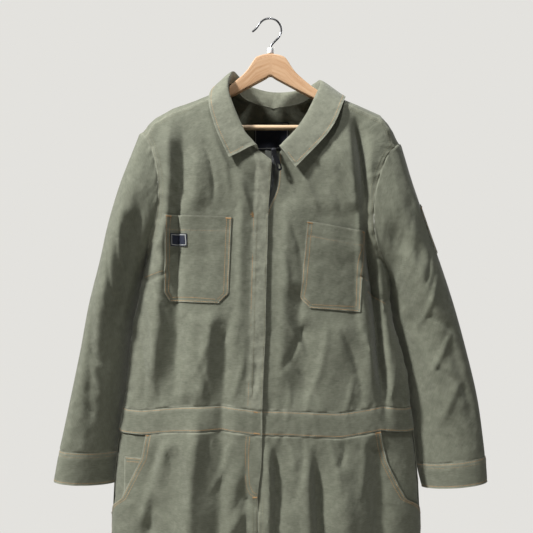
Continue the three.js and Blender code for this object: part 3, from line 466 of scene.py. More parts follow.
def fold_rise(face: Face, x: Array, z: Array) -> Array:
    """How far the cloth stands out of its plain surface.

    Args:
        face: Front or back of the garment.
        x: Places to the side.
        z: Heights.

    Returns:
        Distances out of the cloth, in millimetres.
    """
    rise = np.zeros_like(x)
    for x0, z0, x1, z1, height, left, right in FOLDS[face]:
        t = (z0 - z) / (z0 - z1)
        tail = 1.0 if z1 < -1700 else 1 - smooth(0.8, 1, t)
        sway = 2.5 * NOISE.at(z / 70, np.full_like(z, x0 * 0.37))
        off = x - mix(x0, x1, t) - sway
        flank = np.where(off < 0, left, right)
        crest = np.exp(-np.abs(off / flank) ** 1.6)
        rise += np.where((t > 0) & (t < 1.02), height * crest * smooth(0, 0.14, t) * tail, 0)
    rise *= FOLD_DEPTH
    rise += CREASE_DEPTH * crease_rise(CREASES[face], x, z)
    if face is Face.FRONT:
        calm = np.zeros_like(x)
        for cx, cz, wide, high in STIFF:
            far = np.maximum(np.abs(x - cx) / wide, np.abs(z - cz) / high)
            calm += 0.85 * (1 - smooth(0.95, 1.3, far))
        rise *= 1 - calm
    rise += 0.9 * NOISE.at(x / 34 + 7, z / 52) + 0.45 * NOISE.at(x / 15, z / 21 + 3)
    rise += 0.35 * NOISE.ridged(x / 24 + z / 60, z / 30 - x / 70)
    return rise


# Heights that the front's waist seams gain or lose at a distance to the side.
SAG = np.array(
    ((-250, -3), (-213, -3.5), (-180, 1), (-146, 5), (-76, 7.5), (-13, -1), (34, -2), (121, -7), (155, -2), (191, 4.5), (235, -1))
).T


def sag(x: Array, z: Array) -> Array:
    """Heights gained near the waist, where the seams follow the hanging folds."""
    return np.interp(x, *SAG) * bell((z + 716) / 60)


def quarter_x(s: Array) -> Array:
    """Share across of a row that turns round the body's side."""
    return np.sin(s * math.pi / 2)


def quarter_y(s: Array) -> Array:
    """Share back of a row that turns round the body's side."""
    return 1 - np.cos(s * math.pi / 2)


def bodice(side: Side, s: Array, v: Array) -> Array:
    """Points of the bodice.

    Args:
        side: The wearer's side.
        s: 0 on the opening, neckline or centre back, 1 on the side seam or armhole.
        v: Station.

    Returns:
        Points in millimetres, with a last axis of x, y and z.
    """
    table = BODICE[side]
    turned = np.clip(table.at("round", v), 0, 1)
    turn = mix(s, quarter_x(s), turned)
    x = mix(table.at("xi", v), table.at("xo", v), turn)
    y = mix(table.at("yi", v), table.at("yo", v), mix(s * s, quarter_y(s), turned))
    z = mix(table.at("zi", v), table.at("zo", v), turn)
    hug = np.clip(table.at("hug", v), 0, 1) * smooth(0, 0.15, s) * (1 - smooth(0.9, 1, s))
    line = np.interp(np.abs(x), *SHOULDER_LINE[side]) - np.maximum(0, table.at("drop", v))
    z = mix(z, line, hug)
    free = 1 - smooth(0.78, 0.97, s)
    ridge = smooth(SHOULDER - 0.7, SHOULDER - 0.1, v) * (1 - smooth(SHOULDER + 0.1, SHOULDER + 0.7, v))
    front = v < SHOULDER
    rise = np.where(front, fold_rise(Face.FRONT, x, z), fold_rise(Face.BACK, x, z)) * free * (1 - ridge)
    y = y + np.where(front, -rise, rise)
    if side is Side.LEFT:
        lap = (1 - smooth(0.08, 0.26, s)) * (1 - smooth(FRONT_NECK, FRONT_NECK + 1.5, v))
        y = y + np.where(v < FRONT_YOKE, UNDERLAP * lap, 0)
    z = z + np.where(front, sag(x, z) * free, 0)
    return np.stack([x, y, z], axis=-1)


def trousers(side: Side, face: Face, s: Array, v: Array) -> Array:
    """Points of one face of a trouser leg.

    Args:
        side: The wearer's side.
        face: Front or back.
        s: 0 on the fly, seat seam or inseam, 1 on the side seam.
        v: Station.

    Returns:
        Points in millimetres.
    """
    table = LEG[side]
    z = table.at("z", v)
    turned = np.clip(table.at("round", v), 0, 1)
    half = (1 - np.cos(s * math.pi)) / 2
    inner = table.at("fly" if face is Face.FRONT else "rear", v)
    x = mix(inner, table.at("xo", v), mix(quarter_x(s), half, turned))
    out = -1 if face is Face.FRONT else 1
    y = mix(table.at(face.value, v), 0, mix(quarter_y(s), half, turned))
    y = y + out * table.at("deep", v) * np.sin(s * math.pi)
    free = (1 - smooth(0.78, 0.97, s)) * mix(1, smooth(0, 0.14, s), smooth(0, 0.5, turned))
    y = y + out * fold_rise(face, x, z) * free
    if side is Side.LEFT and face is Face.FRONT:
        y = y + UNDERLAP * (1 - smooth(0.08, 0.26, s)) * smooth(FLY_END - 45, FLY_END, z)
    if face is Face.FRONT:
        z = z + sag(x, z) * (1 - smooth(0.78, 0.97, s))
    return np.stack([x, y, z], axis=-1)


def waist(side: Side, face: Face, s: Array, q: Array) -> Array:
    """Points of the waistband, q from its top, 0, to its bottom, 1."""
    row = 0 if face is Face.FRONT else BACK_WAIST
    top = bodice(side, s, np.full_like(s, row))
    bottom = trousers(side, face, s, np.zeros_like(s))
    return mix(top, bottom, q[..., None])


# Collar stations: bodice station, top of the roll and the leaf's edge.
COLLAR = Stations(
    ("v", "rx", "ry", "rz", "ex", "ey", "ez"),
    (
        (8.4, -18, -62, -250, -65, -67, -273),
        (9, -41, -55, -220, -88, -60, -222),
        (10, -66, -38, -150, -101, -44, -172),
        (11, -58, 4, -108, -92, 0, -137),
        (12, -36, 34, -122, -62, 50, -152),
        (13, 10, 46, -133, 10, 58, -171),
        (12, 62, 35, -131, 84, 50, -158),
        (11, 90, 4, -124, 132, 0, -153),
        (10, 82, -38, -158, 128, -47, -178),
        (9, 54, -53, -212, 104, -62, -228),
        (8.1, 19, -62, -252, 47, -68, -290),
    ),
)
COLLAR_BACK = 5
COLLAR_END = 10


def unit(vectors: Array) -> Array:
    """Vectors of length 1 along the given ones."""
    return vectors / np.maximum(np.linalg.norm(vectors, axis=-1, keepdims=True), 1e-9)


def collar(t: Array, u: Array) -> Array:
    """Points of the collar.

    Args:
        t: Stations round the neckline, from the right front's end.
        u: 0 on the neck seam, over the roll, 1 on the leaf's edge.

    Returns:
        Points in millimetres.
    """
    i = np.clip(np.floor(t).astype(int), 0, COLLAR_END - 1)
    stops = np.array([row[0] for row in COLLAR.rows])
    v = mix(stops[i], stops[i + 1], t - i)
    zero = np.zeros_like(t)
    neck = np.where(
        (i < COLLAR_BACK)[..., None], bodice(Side.RIGHT, zero, v), bodice(Side.LEFT, zero, v)
    )
    roll = np.stack([COLLAR.at(name, t) for name in ("rx", "ry", "rz")], axis=-1)
    edge = np.stack([COLLAR.at(name, t) for name in ("ex", "ey", "ez")], axis=-1)
    up = unit(roll - neck)
    seam = neck + 1.2 * up
    out = edge - seam
    out = unit(out - up * np.sum(out * up, axis=-1, keepdims=True))
    knots = (
        seam,
        mix(seam, roll, 0.62) + 0.4 * out,
        roll + 3 * out,
        mix(roll, edge, 0.22) + 3.4 * out + up,
        mix(roll, edge, 0.6) + 2 * out,
        edge,
    )
    at = u * (len(knots) - 1)
    k = np.clip(np.floor(at).astype(int), 0, len(knots) - 2)
    w = (at - k)[..., None]
    stack = np.stack([2 * knots[0] - knots[1], *knots, 2 * knots[-1] - knots[-2]])
    grid = np.indices(t.shape)
    p0, p1, p2, p3 = (stack[(k + n, *grid)] for n in range(4))
    return p1 + w * ((p2 - p0) + w * (2 * p0 - 5 * p1 + 4 * p2 - p3 + w * (3 * (p1 - p2) + p3 - p0))) / 2


SLEEVE_NAMES = ("xo", "zo", "xi", "zi", "y", "deep", "lean")
CUFF_TOP, CUFF_END = 8, 9
SLEEVE = {
    Side.RIGHT: Stations(
        SLEEVE_NAMES,
        (
            (-220, -225, -209, -438, -19, 34, 0),
            (-236, -262, -213, -448, -18, 42, 14),
            (-256, -314, -214, -467, -16, 47, 32),
            (-275, -378, -221, -493, -14, 48, 37),
            (-290, -446, -228, -524, -13, 46, 40),
            (-308, -520, -235, -562, -13, 42, 41),
            (-322, -600, -242, -628, -14, 38, 41),
            (-338, -682, -250, -694, -16, 33, 40),
            (-355, -768, -262, -774, -18, 25, 36),
            (-364, -822, -267, -830, -18, 24, 34),
        ),
        {name: (CUFF_TOP,) for name in SLEEVE_NAMES},
    ),
    Side.LEFT: Stations(
        SLEEVE_NAMES,
        (
            (231, -246, 211, -462, -19, 34, 0),
            (246, -296, 213, -471, -18, 42, 14),
            (262, -345, 211, -490, -16, 47, 32),
            (278, -392, 213, -514, -14, 48, 37),
            (300, -455, 218, -546, -13, 46, 40),
            (322, -525, 229, -588, -13, 42, 42),
            (342, -602, 242, -644, -14, 38, 42),
            (360, -685, 249, -704, -16, 33, 40),
            (371, -778, 261, -796, -18, 27, 36),
            (374, -822, 271, -838, -18, 24, 34),
        ),
        {name: (CUFF_TOP,) for name in SLEEVE_NAMES},
    ),
}

# Sleeve folds: stations and angles of two ends, rise, and half-width in degrees. Angles go from
# the outer edge, over the front, to the inner one at 180.
SLEEVE_FOLDS: dict[Side, tuple[tuple[float, ...], ...]] = {
    Side.RIGHT: (
        (0.6, 100, 5.5, 118, -7, 17),
        (0.8, 62, 6.5, 70, 4, 18),
        (2, 140, 7.6, 112, 5, 12),
        (4.6, 45, 7.7, 92, -5, 12),
        (3, 20, 7, 32, -4, 13),
        (1, 230, 7, 245, -5, 22),
        (2.5, 290, 7.5, 300, 5, 22),
        (2.2, 60, 3.4, 104, 3, 9),
        (3.3, 44, 4.6, 100, -3, 8),
        (4.4, 60, 5.2, 120, 3, 8),
        (5.4, 30, 6.2, 92, -3, 8),
        (5.9, 60, 6.9, 110, 3, 8),
        (6.8, 40, 7.3, 104, -2.6, 7),
        (1.2, 96, 2.4, 60, 2.6, 9),
        (4, 240, 5, 300, 3, 9),
        (5.6, 230, 6.6, 290, -3, 9),
    ),
    Side.LEFT: (
        (0.5, 120, 3.8, 60, -7, 13),
        (0.9, 60, 4.4, 28, -5, 13),
        (2.2, 140, 6.2, 96, -8, 12),
        (1.6, 92, 5.6, 66, 5, 13),
        (5.2, 70, 7.7, 40, -4, 12),
        (4.6, 120, 7.6, 90, 5, 12),
        (1, 240, 7, 250, -5, 22),
        (2.5, 300, 7.5, 290, 5, 22),
        (3.9, 40, 4.9, 112, 3.4, 8),
        (4.5, 100, 5.6, 40, -3.4, 7),
        (5.3, 50, 6.2, 116, 3.2, 8),
        (5.9, 104, 6.9, 44, -3.2, 7),
        (6.4, 56, 7.5, 120, 3, 8),
        (3.2, 30, 4.0, 84, -2.8, 7),
        (4, 240, 5, 300, 3, 9),
        (5.6, 230, 6.6, 290, -3, 9),
    ),
}


def sleeve(side: Side, angle: Array, w: Array) -> Array:
    """Points of a sleeve and its cuff.

    Args:
        side: The wearer's side.
        angle: Degrees from the outer edge, over the front, to the inner one at 180.
        w: Station, from the armhole to the cuff's end.

    Returns:
        Points in millimetres.
    """
    table = SLEEVE[side]
    turn = np.mod(angle, 360) / 360
    theta = turn * 2 * math.pi
    outer = np.stack([table.at(name, w) for name in ("xo", "y", "zo")], axis=-1)
    inner = np.stack([table.at(name, w) for name in ("xi", "y", "zi")], axis=-1)
    rise = np.zeros_like(turn)
    for w0, a0, w1, a1, height, wide in SLEEVE_FOLDS[side]:
        t = (w - w0) / (w1 - w0)
        off = turn * 360 - mix(a0, a1, np.clip(t, 0, 1))
        off -= 360 * np.round(off / 360)
        rise += height * bell(off / wide) * smooth(0, 0.25, t) * (1 - smooth(0.75, 1, t))
    clear = 1 - bell((turn * 360 - 180) / 38)
    ends = smooth(0.4, 1.6, w) * (1 - smooth(7.3, 8, w))
    fine = NOISE.at(turn * 11 + 3, w * 2.2) * 1.1 + NOISE.ridged(turn * 14 - w, w * 3 + turn * 4) * 0.8
    deep = table.at("deep", w) + (rise * ends + fine * smooth(0.2, 0.8, w) * (1 - smooth(7.6, 8, w))) * clear
    ring = mix(inner, outer, (0.5 + 0.5 * np.cos(theta))[..., None])
    ring[..., 1] += table.at("lean", w) * (0.5 - 0.5 * np.cos(theta)) ** 2 - deep * np.sin(theta)
    # Near the armhole the oval gives way to the armhole's own line.
    front = mix(SHOULDER, FRONT_ARMPIT, turn * 2)
    v = np.where(turn < 0.5, front, mix(BACK_ARMPIT, SHOULDER, turn * 2 - 1))
    one = np.ones_like(v)
    hole = bodice(side, one, v)
    edge = unit(bodice(side, one, v + 0.01) - bodice(side, one, v - 0.01))
    away = unit(hole - bodice(side, 0.97 * one, v))
    away = unit(away - edge * np.sum(away * edge, axis=-1, keepdims=True))
    under = np.array([-0.8 if side is Side.RIGHT else 0.8, 0, 0.6])
    away = mix(away, under, bell((turn - 0.5) / 0.06)[..., None])
    zero = np.zeros_like(w)
    swing = 0.5 + 0.5 * np.cos(theta)
    first = np.stack(
        [
            mix(table.at("xi", zero), table.at("xo", zero), swing),
            table.at("y", zero) - table.at("deep", zero) * np.sin(theta),
            mix(table.at("zi", zero), table.at("zo", zero), swing),
        ],
        axis=-1,
    )
    shift = hole + 1.0 * away - first
    return ring + shift * (1 - smooth(0, 2, w))[..., None]


def normals(surface: Surface, a: Array, b: Array, out: int) -> Array:
    """Outward normals of a surface at its own coordinates."""
    step = 0.004
    du = surface(a + step, b) - surface(a - step, b)
    dv = surface(a, b + step) - surface(a, b - step)
    return out * unit(np.cross(du, dv))


def locate(surface: Surface, x: Array, z: Array, guess: tuple[float, float]) -> tuple[Array, Array]:
    """Solves for a surface's coordinates at given places.

    Args:
        surface: The surface.
        x: Places to the side, in millimetres.
        z: Heights, in millimetres.
        guess: Coordinates to start from.

    Returns:
        The two coordinates of each place.
    """
    a, b = np.full_like(x, guess[0]), np.full_like(x, guess[1])
    for _ in range(14):
        step = 1e-3
        p = surface(a, b)
        pa = (surface(a + step, b) - p) / step
        pb = (surface(a, b + step) - p) / step
        det = pa[..., 0] * pb[..., 2] - pb[..., 0] * pa[..., 2]
        dx, dz = x - p[..., 0], z - p[..., 2]
        a = a + np.clip((dx * pb[..., 2] - pb[..., 0] * dz) / det, -0.2, 0.2)
        b = b + np.clip((pa[..., 0] * dz - dx * pa[..., 2]) / det, -1, 1)
    return a, b


def link(obj: bpy.types.Object) -> bpy.types.Object:
    """Puts an object in the scene and makes it the only one selected."""
    if obj.name not in bpy.context.scene.collection.objects:
        bpy.context.scene.collection.objects.link(obj)
    for other in bpy.context.selected_objects:
        other.select_set(False)
    obj.select_set(True)
    bpy.context.view_layer.objects.active = obj
    return obj


def mesh_object(name: str, points: Array, faces: Array) -> bpy.types.Object:
    """Makes an object from points in table millimetres and faces of one size.

    Args:
        name: The object's name.
        points: Rows of x, y and z.
        faces: Rows of vertex numbers.

    Returns:
        The object, in metres, linked and active.
    """
    mesh = bpy.data.meshes.new(name)
    sides = faces.shape[1]
    mesh.vertices.add(len(points))
    mesh.vertices.foreach_set("co", ((points - CROOK) * MM).astype(np.float32).ravel())
    mesh.loops.add(faces.size)
    mesh.loops.foreach_set("vertex_index", faces.astype(np.int32).ravel())
    mesh.polygons.add(len(faces))
    mesh.polygons.foreach_set("loop_start", np.arange(0, faces.size, sides, dtype=np.int32))
    mesh.update(calc_edges=True)
    mesh.validate()
    return link(bpy.data.objects.new(name, mesh))


def shade(obj: bpy.types.Object, angle: float = 50) -> None:
    """Shades an object smooth, but for edges sharper than an angle in degrees."""
    link(obj)
    bpy.ops.object.shade_smooth_by_angle(angle=math.radians(angle))


def apply(obj: bpy.types.Object, kind: str, **settings: object) -> None:
    """Adds a modifier with its settings and applies it."""
    link(obj)
    modifier = obj.modifiers.new(kind.lower(), kind)
    for name, value in settings.items():
        setattr(modifier, name, value)
    bpy.ops.object.modifier_apply(modifier=modifier.name)


@dataclass(frozen=True)
class Span:
    """Maps a cut piece's shares r and c to its surface's coordinates.

    Attributes:
        start: Second coordinate at r 0.
        stop: Second coordinate at r 1.
        inner: First coordinate at c 0, for given second ones.
        outer: First coordinate at c 1.
    """

    start: float
    stop: float
    inner: Callable[[Array], Array] = np.zeros_like
    outer: Callable[[Array], Array] = np.ones_like

    def grid(self, r: Array, c: Array) -> tuple[Array, Array]:
        """Coordinates of the given shares."""
        b = mix(self.start, self.stop, r)
        return mix(self.inner(b), self.outer(b), c), b

    def shares(self, a: Array, b: Array) -> tuple[Array, Array]:
        """Shares of the given coordinates."""
        inner, outer = self.inner(b), self.outer(b)
        return (b - self.start) / (self.stop - self.start), (a - inner) / (outer - inner)


@dataclass(frozen=True)
class Quad:
    """Maps a patch's shares to a surface's coordinates through its outline.

    Attributes:
        surface: The surface it lies on.
        left: Points of the left edge, as share down, x and z.
        right: Points of the right edge.
        guess: Coordinates near the patch.
    """

    surface: Surface
    left: tuple[tuple[float, float, float], ...]
    right: tuple[tuple[float, float, float], ...]
    guess: tuple[float, float]

    def place(self, r: Array, c: Array) -> tuple[Array, Array]:
        """Places x and z of the given shares."""
        left, right = np.array(self.left).T, np.array(self.right).T
        x = mix(np.interp(r, left[0], left[1]), np.interp(r, right[0], right[1]), c)
        z = mix(np.interp(r, left[0], left[2]), np.interp(r, right[0], right[2]), c)
        return x, z

    def grid(self, r: Array, c: Array) -> tuple[Array, Array]:
        """Coordinates of the given shares."""
        return locate(self.surface, *self.place(r, c), self.guess)


class Rim(Enum):
    """An edge of a cut piece."""

    START = 0
    END = 1
    INNER = 2
    OUTER = 3


@dataclass
class Panel:
    """A cut piece of cloth laid on a surface.

    Attributes:
        surface: Gives points for two coordinates.
        out: Sign that turns the surface's normal outwards.
        cut: Maps shares r and c to the surface's coordinates.
        edges: Finish of the edges at r 0, r 1, c 0 and c 1.
        puckers: Height of the gathers along each of those edges, in millimetres.
        wall: Thickness of the cloth.
        lift: Distance of the cloth's middle out of the surface.
        pitch: Distance between points.
        closed: Whether the last column meets the first.
        grooves: Stitched lines, each a rim and a distance from it.
        swell: Extra height for shares r and c.
        rubbed_and_highlight: Extra paleness for shares r and c, partly from use and partly a painted highlight.
        seed: Sets the puckers apart from other panels'.
    """

    surface: Surface
    out: int
    cut: Span | Quad
    edges: tuple[Edge, Edge, Edge, Edge] = (Edge.SEAM,) * 4
    puckers: tuple[float, float, float, float] = (0.8,) * 4
    wall: float = 1.2
    lift: float = 0.0
    pitch: float = 4.4
    closed: bool = False
    grooves: tuple[tuple[Rim, float], ...] = ()
    swell: Optional[Callable[[Array, Array], Array]] = None
    rubbed_and_highlight: Optional[Callable[[Array, Array], Array]] = None
    seed: float = 0.0

    ROWS, COLUMNS = 73, 61

    def __post_init__(self) -> None:
        """Measures the cloth along both its ways."""
        self.r_stops = np.linspace(0, 1, self.ROWS)
        self.c_stops = np.linspace(0, 1, self.COLUMNS)
        r, c = np.meshgrid(self.r_stops, self.c_stops, indexing="ij")
        p = self.surface(*self.cut.grid(r, c))
        down = np.linalg.norm(np.diff(p, axis=0), axis=-1)
        across = np.linalg.norm(np.diff(p, axis=1), axis=-1)
        self.down = np.concatenate([np.zeros((1, self.COLUMNS)), np.cumsum(down, axis=0)], axis=0)
        self.across = np.concatenate([np.zeros((self.ROWS, 1)), np.cumsum(across, axis=1)], axis=1)

    def measure(self, table: Array, r: Array, c: Array) -> Array:
        """Reads one of the tables of distances at shares r and c."""
        x = np.clip(r, 0, 1) * (self.ROWS - 1)
        y = np.clip(c, 0, 1) * (self.COLUMNS - 1)
        i = np.clip(x.astype(int), 0, self.ROWS - 2)
        j = np.clip(y.astype(int), 0, self.COLUMNS - 2)
        u, v = x - i, y - j
        near = mix(table[i, j], table[i, j + 1], v)
        return mix(near, mix(table[i + 1, j], table[i + 1, j + 1], v), u)

    def distances(self, r: Array, c: Array) -> tuple[Array, Array, Array, Array]:
        """Distances from the four rims, in millimetres."""
        down, length = self.measure(self.down, r, c), self.measure(self.down, np.ones_like(r), c)
        across, width = self.measure(self.across, r, c), self.measure(self.across, r, np.ones_like(c))
        return down, length - down, across, width - across

    def relief(self, r: Array, c: Array) -> Array:
        """Height of the sewing: edges drawn in, stitched lines and their puckers."""
        distances = self.distances(r, c)
        ways = (distances[2], distances[2], distances[0], distances[0])
        height = np.zeros_like(r)
        for number, (edge, distance, way) in enumerate(zip(self.edges, distances, ways)):
            if edge is Edge.FLUSH:
                continue
            if edge is Edge.SEAM:
                height -= 0.75 * bell(distance / 1.5)
            lane = np.full_like(way, self.seed + 3.3 * number)
            pucker = NOISE.at(way / 8.5 + self.seed, lane + distance / 40)
            reach = 7 + 5 * self.puckers[number]
            height += self.puckers[number] * pucker * np.exp(-distance / reach) * smooth(0, 3, distance)
        for rim, at in self.grooves:
            distance = distances[rim.value] - at
            lane = np.full_like(distance, self.seed + at)
            height -= 0.45 * bell(distance / 1.6)
            height += 0.5 * NOISE.at(ways[rim.value] / 8 + self.seed, lane) * bell(distance / 6)
        if self.swell is not None:
            height += self.swell(r, c)
        return height

    def points(self, r: Array, c: Array, height: float = 0.0) -> tuple[Array, Array]:
        """Points on the finished cloth.

        Args:
            r: Shares along the first way.
            c: Shares along the second way.
            height: Distance above the cloth's middle.

        Returns:
            The points and the outward normals there.
        """
        a, b = self.cut.grid(r, c)
        normal = normals(self.surface, a, b, self.out)
        raised = self.lift + height + self.relief(r, c)
        return self.surface(a, b) + normal * raised[..., None], normal

    def rows(self) -> Array:
        """Shares r of the mesh's rows, close together near both ends."""
        middle = self.down.mean(axis=1)
        return np.interp(self.spread(middle[-1]), middle, self.r_stops)

    def spread(self, total: float, count: Optional[int] = None) -> Array:
        """Distances of rows or columns along a total, close together near both ends."""
        near = np.array([0, 0.9, 2.0, 3.6])
        count = count or max(3, round((total - 11) / self.pitch))
        if total < 16:
            return np.linspace(0, total, count + 2 * len(near))
        return np.concatenate([near, np.linspace(5.5, total - 5.5, count), total - near[::-1]])

    def lattice(self, rows: Array) -> tuple[Array, Array]:
        """Shares r and c of the mesh's points.

        Args:
            rows: Shares r of the rows.

        Returns:
            Two arrays, a row of points in each of their rows.
        """
        lines = np.stack([np.interp(rows, self.r_stops, self.across[:, k]) for k in range(self.COLUMNS)])
        widths = lines[-1]
        widest = widths.max()
        count = max(3, round((widest - 11) / self.pitch))
        if self.closed:
            c = np.linspace(0, 1, count)
            return np.meshgrid(rows, c, indexing="ij")
        c = [
            np.interp(self.spread(width, count), lines[:, n], self.c_stops)
            for n, width in enumerate(widths)
        ]
        c = np.stack(c)
        return np.broadcast_to(rows[:, None], c.shape).copy(), c

    def rim_line(self, rim: Rim, distance: float, begin: float = 0, end: float = 0) -> tuple[Array, Array]:
        """Shares along a line at a distance from a rim.

        Args:
            rim: The rim.
            distance: Distance from it in millimetres.
            begin: How far the line stays off the near end of the rim.
            end: How far it stays off the far end.

        Returns:
            Shares r and c.
        """
        sideways = rim in (Rim.INNER, Rim.OUTER)
        far = rim in (Rim.END, Rim.OUTER)
        table, stops = (self.across.T, self.c_stops) if sideways else (self.down, self.r_stops)
        along_table = self.down if sideways else self.across.T
        lane = -1 if far else 0
        way = along_table[:, lane]
        t_stops = self.r_stops if sideways else self.c_stops
        t = np.interp(np.linspace(begin, way[-1] - end, 400), way, t_stops)
        found = []
        for share in t:
            line = np.array([np.interp(share, t_stops, row) for row in table])
            found.append(np.interp(line[-1] - distance if far else distance, line, stops))
        return (t, np.array(found)) if sideways else (np.array(found), t)


@dataclass(frozen=True)
class Cut:
    """A piece's flat size in metres, and its area in square metres."""

    width: float
    length: float
    area: float


def sew(name: str, panels: Sequence[Panel]) -> tuple[bpy.types.Object, Cut]:
    """Makes one cloth piece from panels that meet at their inner rims.

    Args:
        name: The piece's name.
        panels: Its panels, which share the first one's rows.

    Returns:
        The finished object, with its weave coordinates and its edges and seams marked paler, partly from use and
        partly as a painted highlight, and its flat size.
    """
    rows = panels[0].rows()
    points, faces, places, worn_and_highlight = [], [], [], []
    width, area, count = 0.0, 0.0, 0
    for panel in panels:
        r, c = panel.lattice(rows)
        grid, normal = panel.points(r, c)
        distances = panel.distances(r, c)
        # Edges, seams and stitched lines are marked paler: partly wear from use, partly a painted highlight.
        wear_and_highlight = np.zeros_like(r)
        for edge, distance in zip(panel.edges, distances):
            if edge is not Edge.FLUSH:
                rub_and_highlight, reach = (0.7, 2.6) if edge is Edge.SEAM else (1.0, 2.2)
                wear_and_highlight = np.maximum(wear_and_highlight, rub_and_highlight * bell(distance / reach))
        for rim, at in panel.grooves:
            wear_and_highlight = np.maximum(wear_and_highlight, 0.6 * bell((distances[rim.value] - at) / 2.6))
        if panel.rubbed_and_highlight is not None:
            wear_and_highlight = np.maximum(wear_and_highlight, panel.rubbed_and_highlight(r, c))
        across, down = distances[2] * panel.out, distances[0]
        n_rows, n_columns = r.shape
        kept = n_columns - 1 if panel.closed else n_columns
        i, j = np.meshgrid(np.arange(n_rows - 1), np.arange(n_columns - 1), indexing="ij")
        i, j = i.ravel(), j.ravel()
        corners = [(i, j), (i, j + 1), (i + 1, j + 1), (i + 1, j)]
        ids = np.stack([a * kept + b % kept for a, b in corners], axis=-1)
        uv = np.stack([np.stack([across[a, b], down[a, b]], axis=-1) for a, b in corners], axis=1)
        flat = grid[:, :kept].reshape(-1, 3)
        middle = len(ids) // 2
        a, b, d = flat[ids[middle, 0]], flat[ids[middle, 1]], flat[ids[middle, 3]]
        if np.dot(np.cross(b - a, d - a), normal[:, :kept].reshape(-1, 3)[ids[middle, 0]]) < 0:
            ids, uv = ids[:, ::-1], uv[:, ::-1]
        sides = flat[ids]
        area += np.linalg.norm(
            np.cross(sides[:, 2] - sides[:, 0], sides[:, 3] - sides[:, 1]), axis=1
        ).sum() / 2
        points.append(flat)
        faces.append(ids + count)
        places.append(uv)
        worn_and_highlight.append(wear_and_highlight[:, :kept].ravel())
        width += panel.across[:, -1].max()
        count += len(flat)
    length = max(panel.down[-1].max() for panel in panels)
    obj = mesh_object(name, np.concatenate(points), np.concatenate(faces))
    weave = obj.data.uv_layers.new(name="weave").data
    weave.foreach_set("uv", (np.concatenate(places).reshape(-1, 2) * MM).astype(np.float32).ravel())
    layer = obj.data.attributes.new("worn_and_highlight", "FLOAT", "POINT")
    layer.data.foreach_set("value", np.concatenate(worn_and_highlight).astype(np.float32))
    if len(panels) > 1:
        apply(obj, "WELD", merge_threshold=0.0001)
    apply(obj, "SOLIDIFY", thickness=panels[0].wall * MM, offset=0)
    shade(obj, 60)
    box = width * length * MM * MM
    return obj, Cut(width * MM, length * MM, min(area * MM * MM, box))


class Thread:
    """Collects stitches and bar tacks into one mesh."""

    PITCH = 3.6
    LENGTH = 2.7
    HALF = 0.42

    def __init__(self) -> None:
        """Starts an empty collection."""
        self.starts: list[Array] = []
        self.ends: list[Array] = []
        self.ups: list[Array] = []

    def add(self, start: Array, end: Array, up: Array) -> None:
        """Adds threads from start to end points, lying on cloth whose normals are up."""
        self.starts.append(start)
        self.ends.append(end)
        self.ups.append(up)

    def line(self, panel: Panel, r: Array, c: Array) -> None:
        """Sews a line of stitches along shares of a panel.

        Args:
            panel: The cloth.
            r: Shares along the first way.
            c: Shares along the second way.
        """
        points, up = panel.points(r, c, panel.wall / 2 + 0.12)
        way = np.concatenate([[0], np.cumsum(np.linalg.norm(np.diff(points, axis=0), axis=1))])
        begins = np.arange(0.5, way[-1] - self.LENGTH, self.PITCH)
        if not len(begins):
            return
        ends = begins + self.LENGTH
        read = lambda values, at: np.stack([np.interp(at, way, values[:, n]) for n in range(3)], axis=-1)
        self.add(read(points, begins), read(points, ends), read(up, begins))

    def rim(self, panel: Panel, rim: Rim, distances: Sequence[float], begin: float = 1, end: float = 1) -> None:
        """Sews lines along a rim of a panel.

        Args:
            panel: The cloth.
            rim: The rim.
            distances: Distance of each line from the rim.
            begin: How far the lines stay off the near end of the rim.
            end: How far they stay off its far end.
        """
        for distance in distances:
            self.line(panel, *panel.rim_line(rim, distance, begin, end))

    def tack(self, panel: Panel, r: float, c: float, lean: float, length: float = 8) -> None:
        """Sews a bar tack: close threads across a short bar.

        Args:
            panel: The cloth.
            r: Share of its middle along the first way.
            c: Share of its middle along the second way.
            lean: Angle of the bar in degrees, 0 along c and 90 along r.
            length: Length of the bar in millimetres.
        """
        one = np.ones(1)
        middle, up = panel.points(one * r, one * c, panel.wall / 2 + 0.25)
        ahead, _ = panel.points(one * r, one * (c + 0.01), panel.wall / 2 + 0.25)
        along = unit(ahead - middle)[0]
        down = np.cross(up[0], along)
        bar = math.cos(math.radians(lean)) * along + math.sin(math.radians(lean)) * down
        across = np.cross(up[0], bar)
        steps = np.linspace(-0.5, 0.5, 13)[:, None] * length
        ends = middle + steps * bar
        self.add(ends - 1.1 * across, ends + 1.1 * across, np.repeat(up, len(ends), axis=0))

    def build(self, name: str) -> bpy.types.Object:
        """Joins all threads into one mesh.

        Args:
            name: The piece's name.

        Returns:
            The object.
        """
        start, end, up = (np.concatenate(part) for part in (self.starts, self.ends, self.ups))
        along = unit(end - start)
        side = unit(np.cross(along, up)) * self.HALF
        high = unit(up) * self.HALF * 0.75
        near, far = mix(start, end, 0.14), mix(start, end, 0.86)
        rings = [start - high * 0.6]
        for middle in (near, far):
            rings += [middle + side, middle + high, middle - side, middle - high]
        rings.append(end - high * 0.6)
        points = np.stack(rings, axis=1).reshape(-1, 3)
        shape = [(0, 2, 1), (0, 3, 2), (0, 4, 3), (0, 1, 4), (9, 5, 6), (9, 6, 7), (9, 7, 8), (9, 8, 5)]
        for n in range(4):
            m = (n + 1) % 4
            shape += [(1 + n, 1 + m, 5 + m), (1 + n, 5 + m, 5 + n)]
        faces = (np.arange(len(start))[:, None, None] * 10 + np.array(shape)[None]).reshape(-1, 3)
        obj = mesh_object(name, points, faces)
        shade(obj, 70)
        return obj


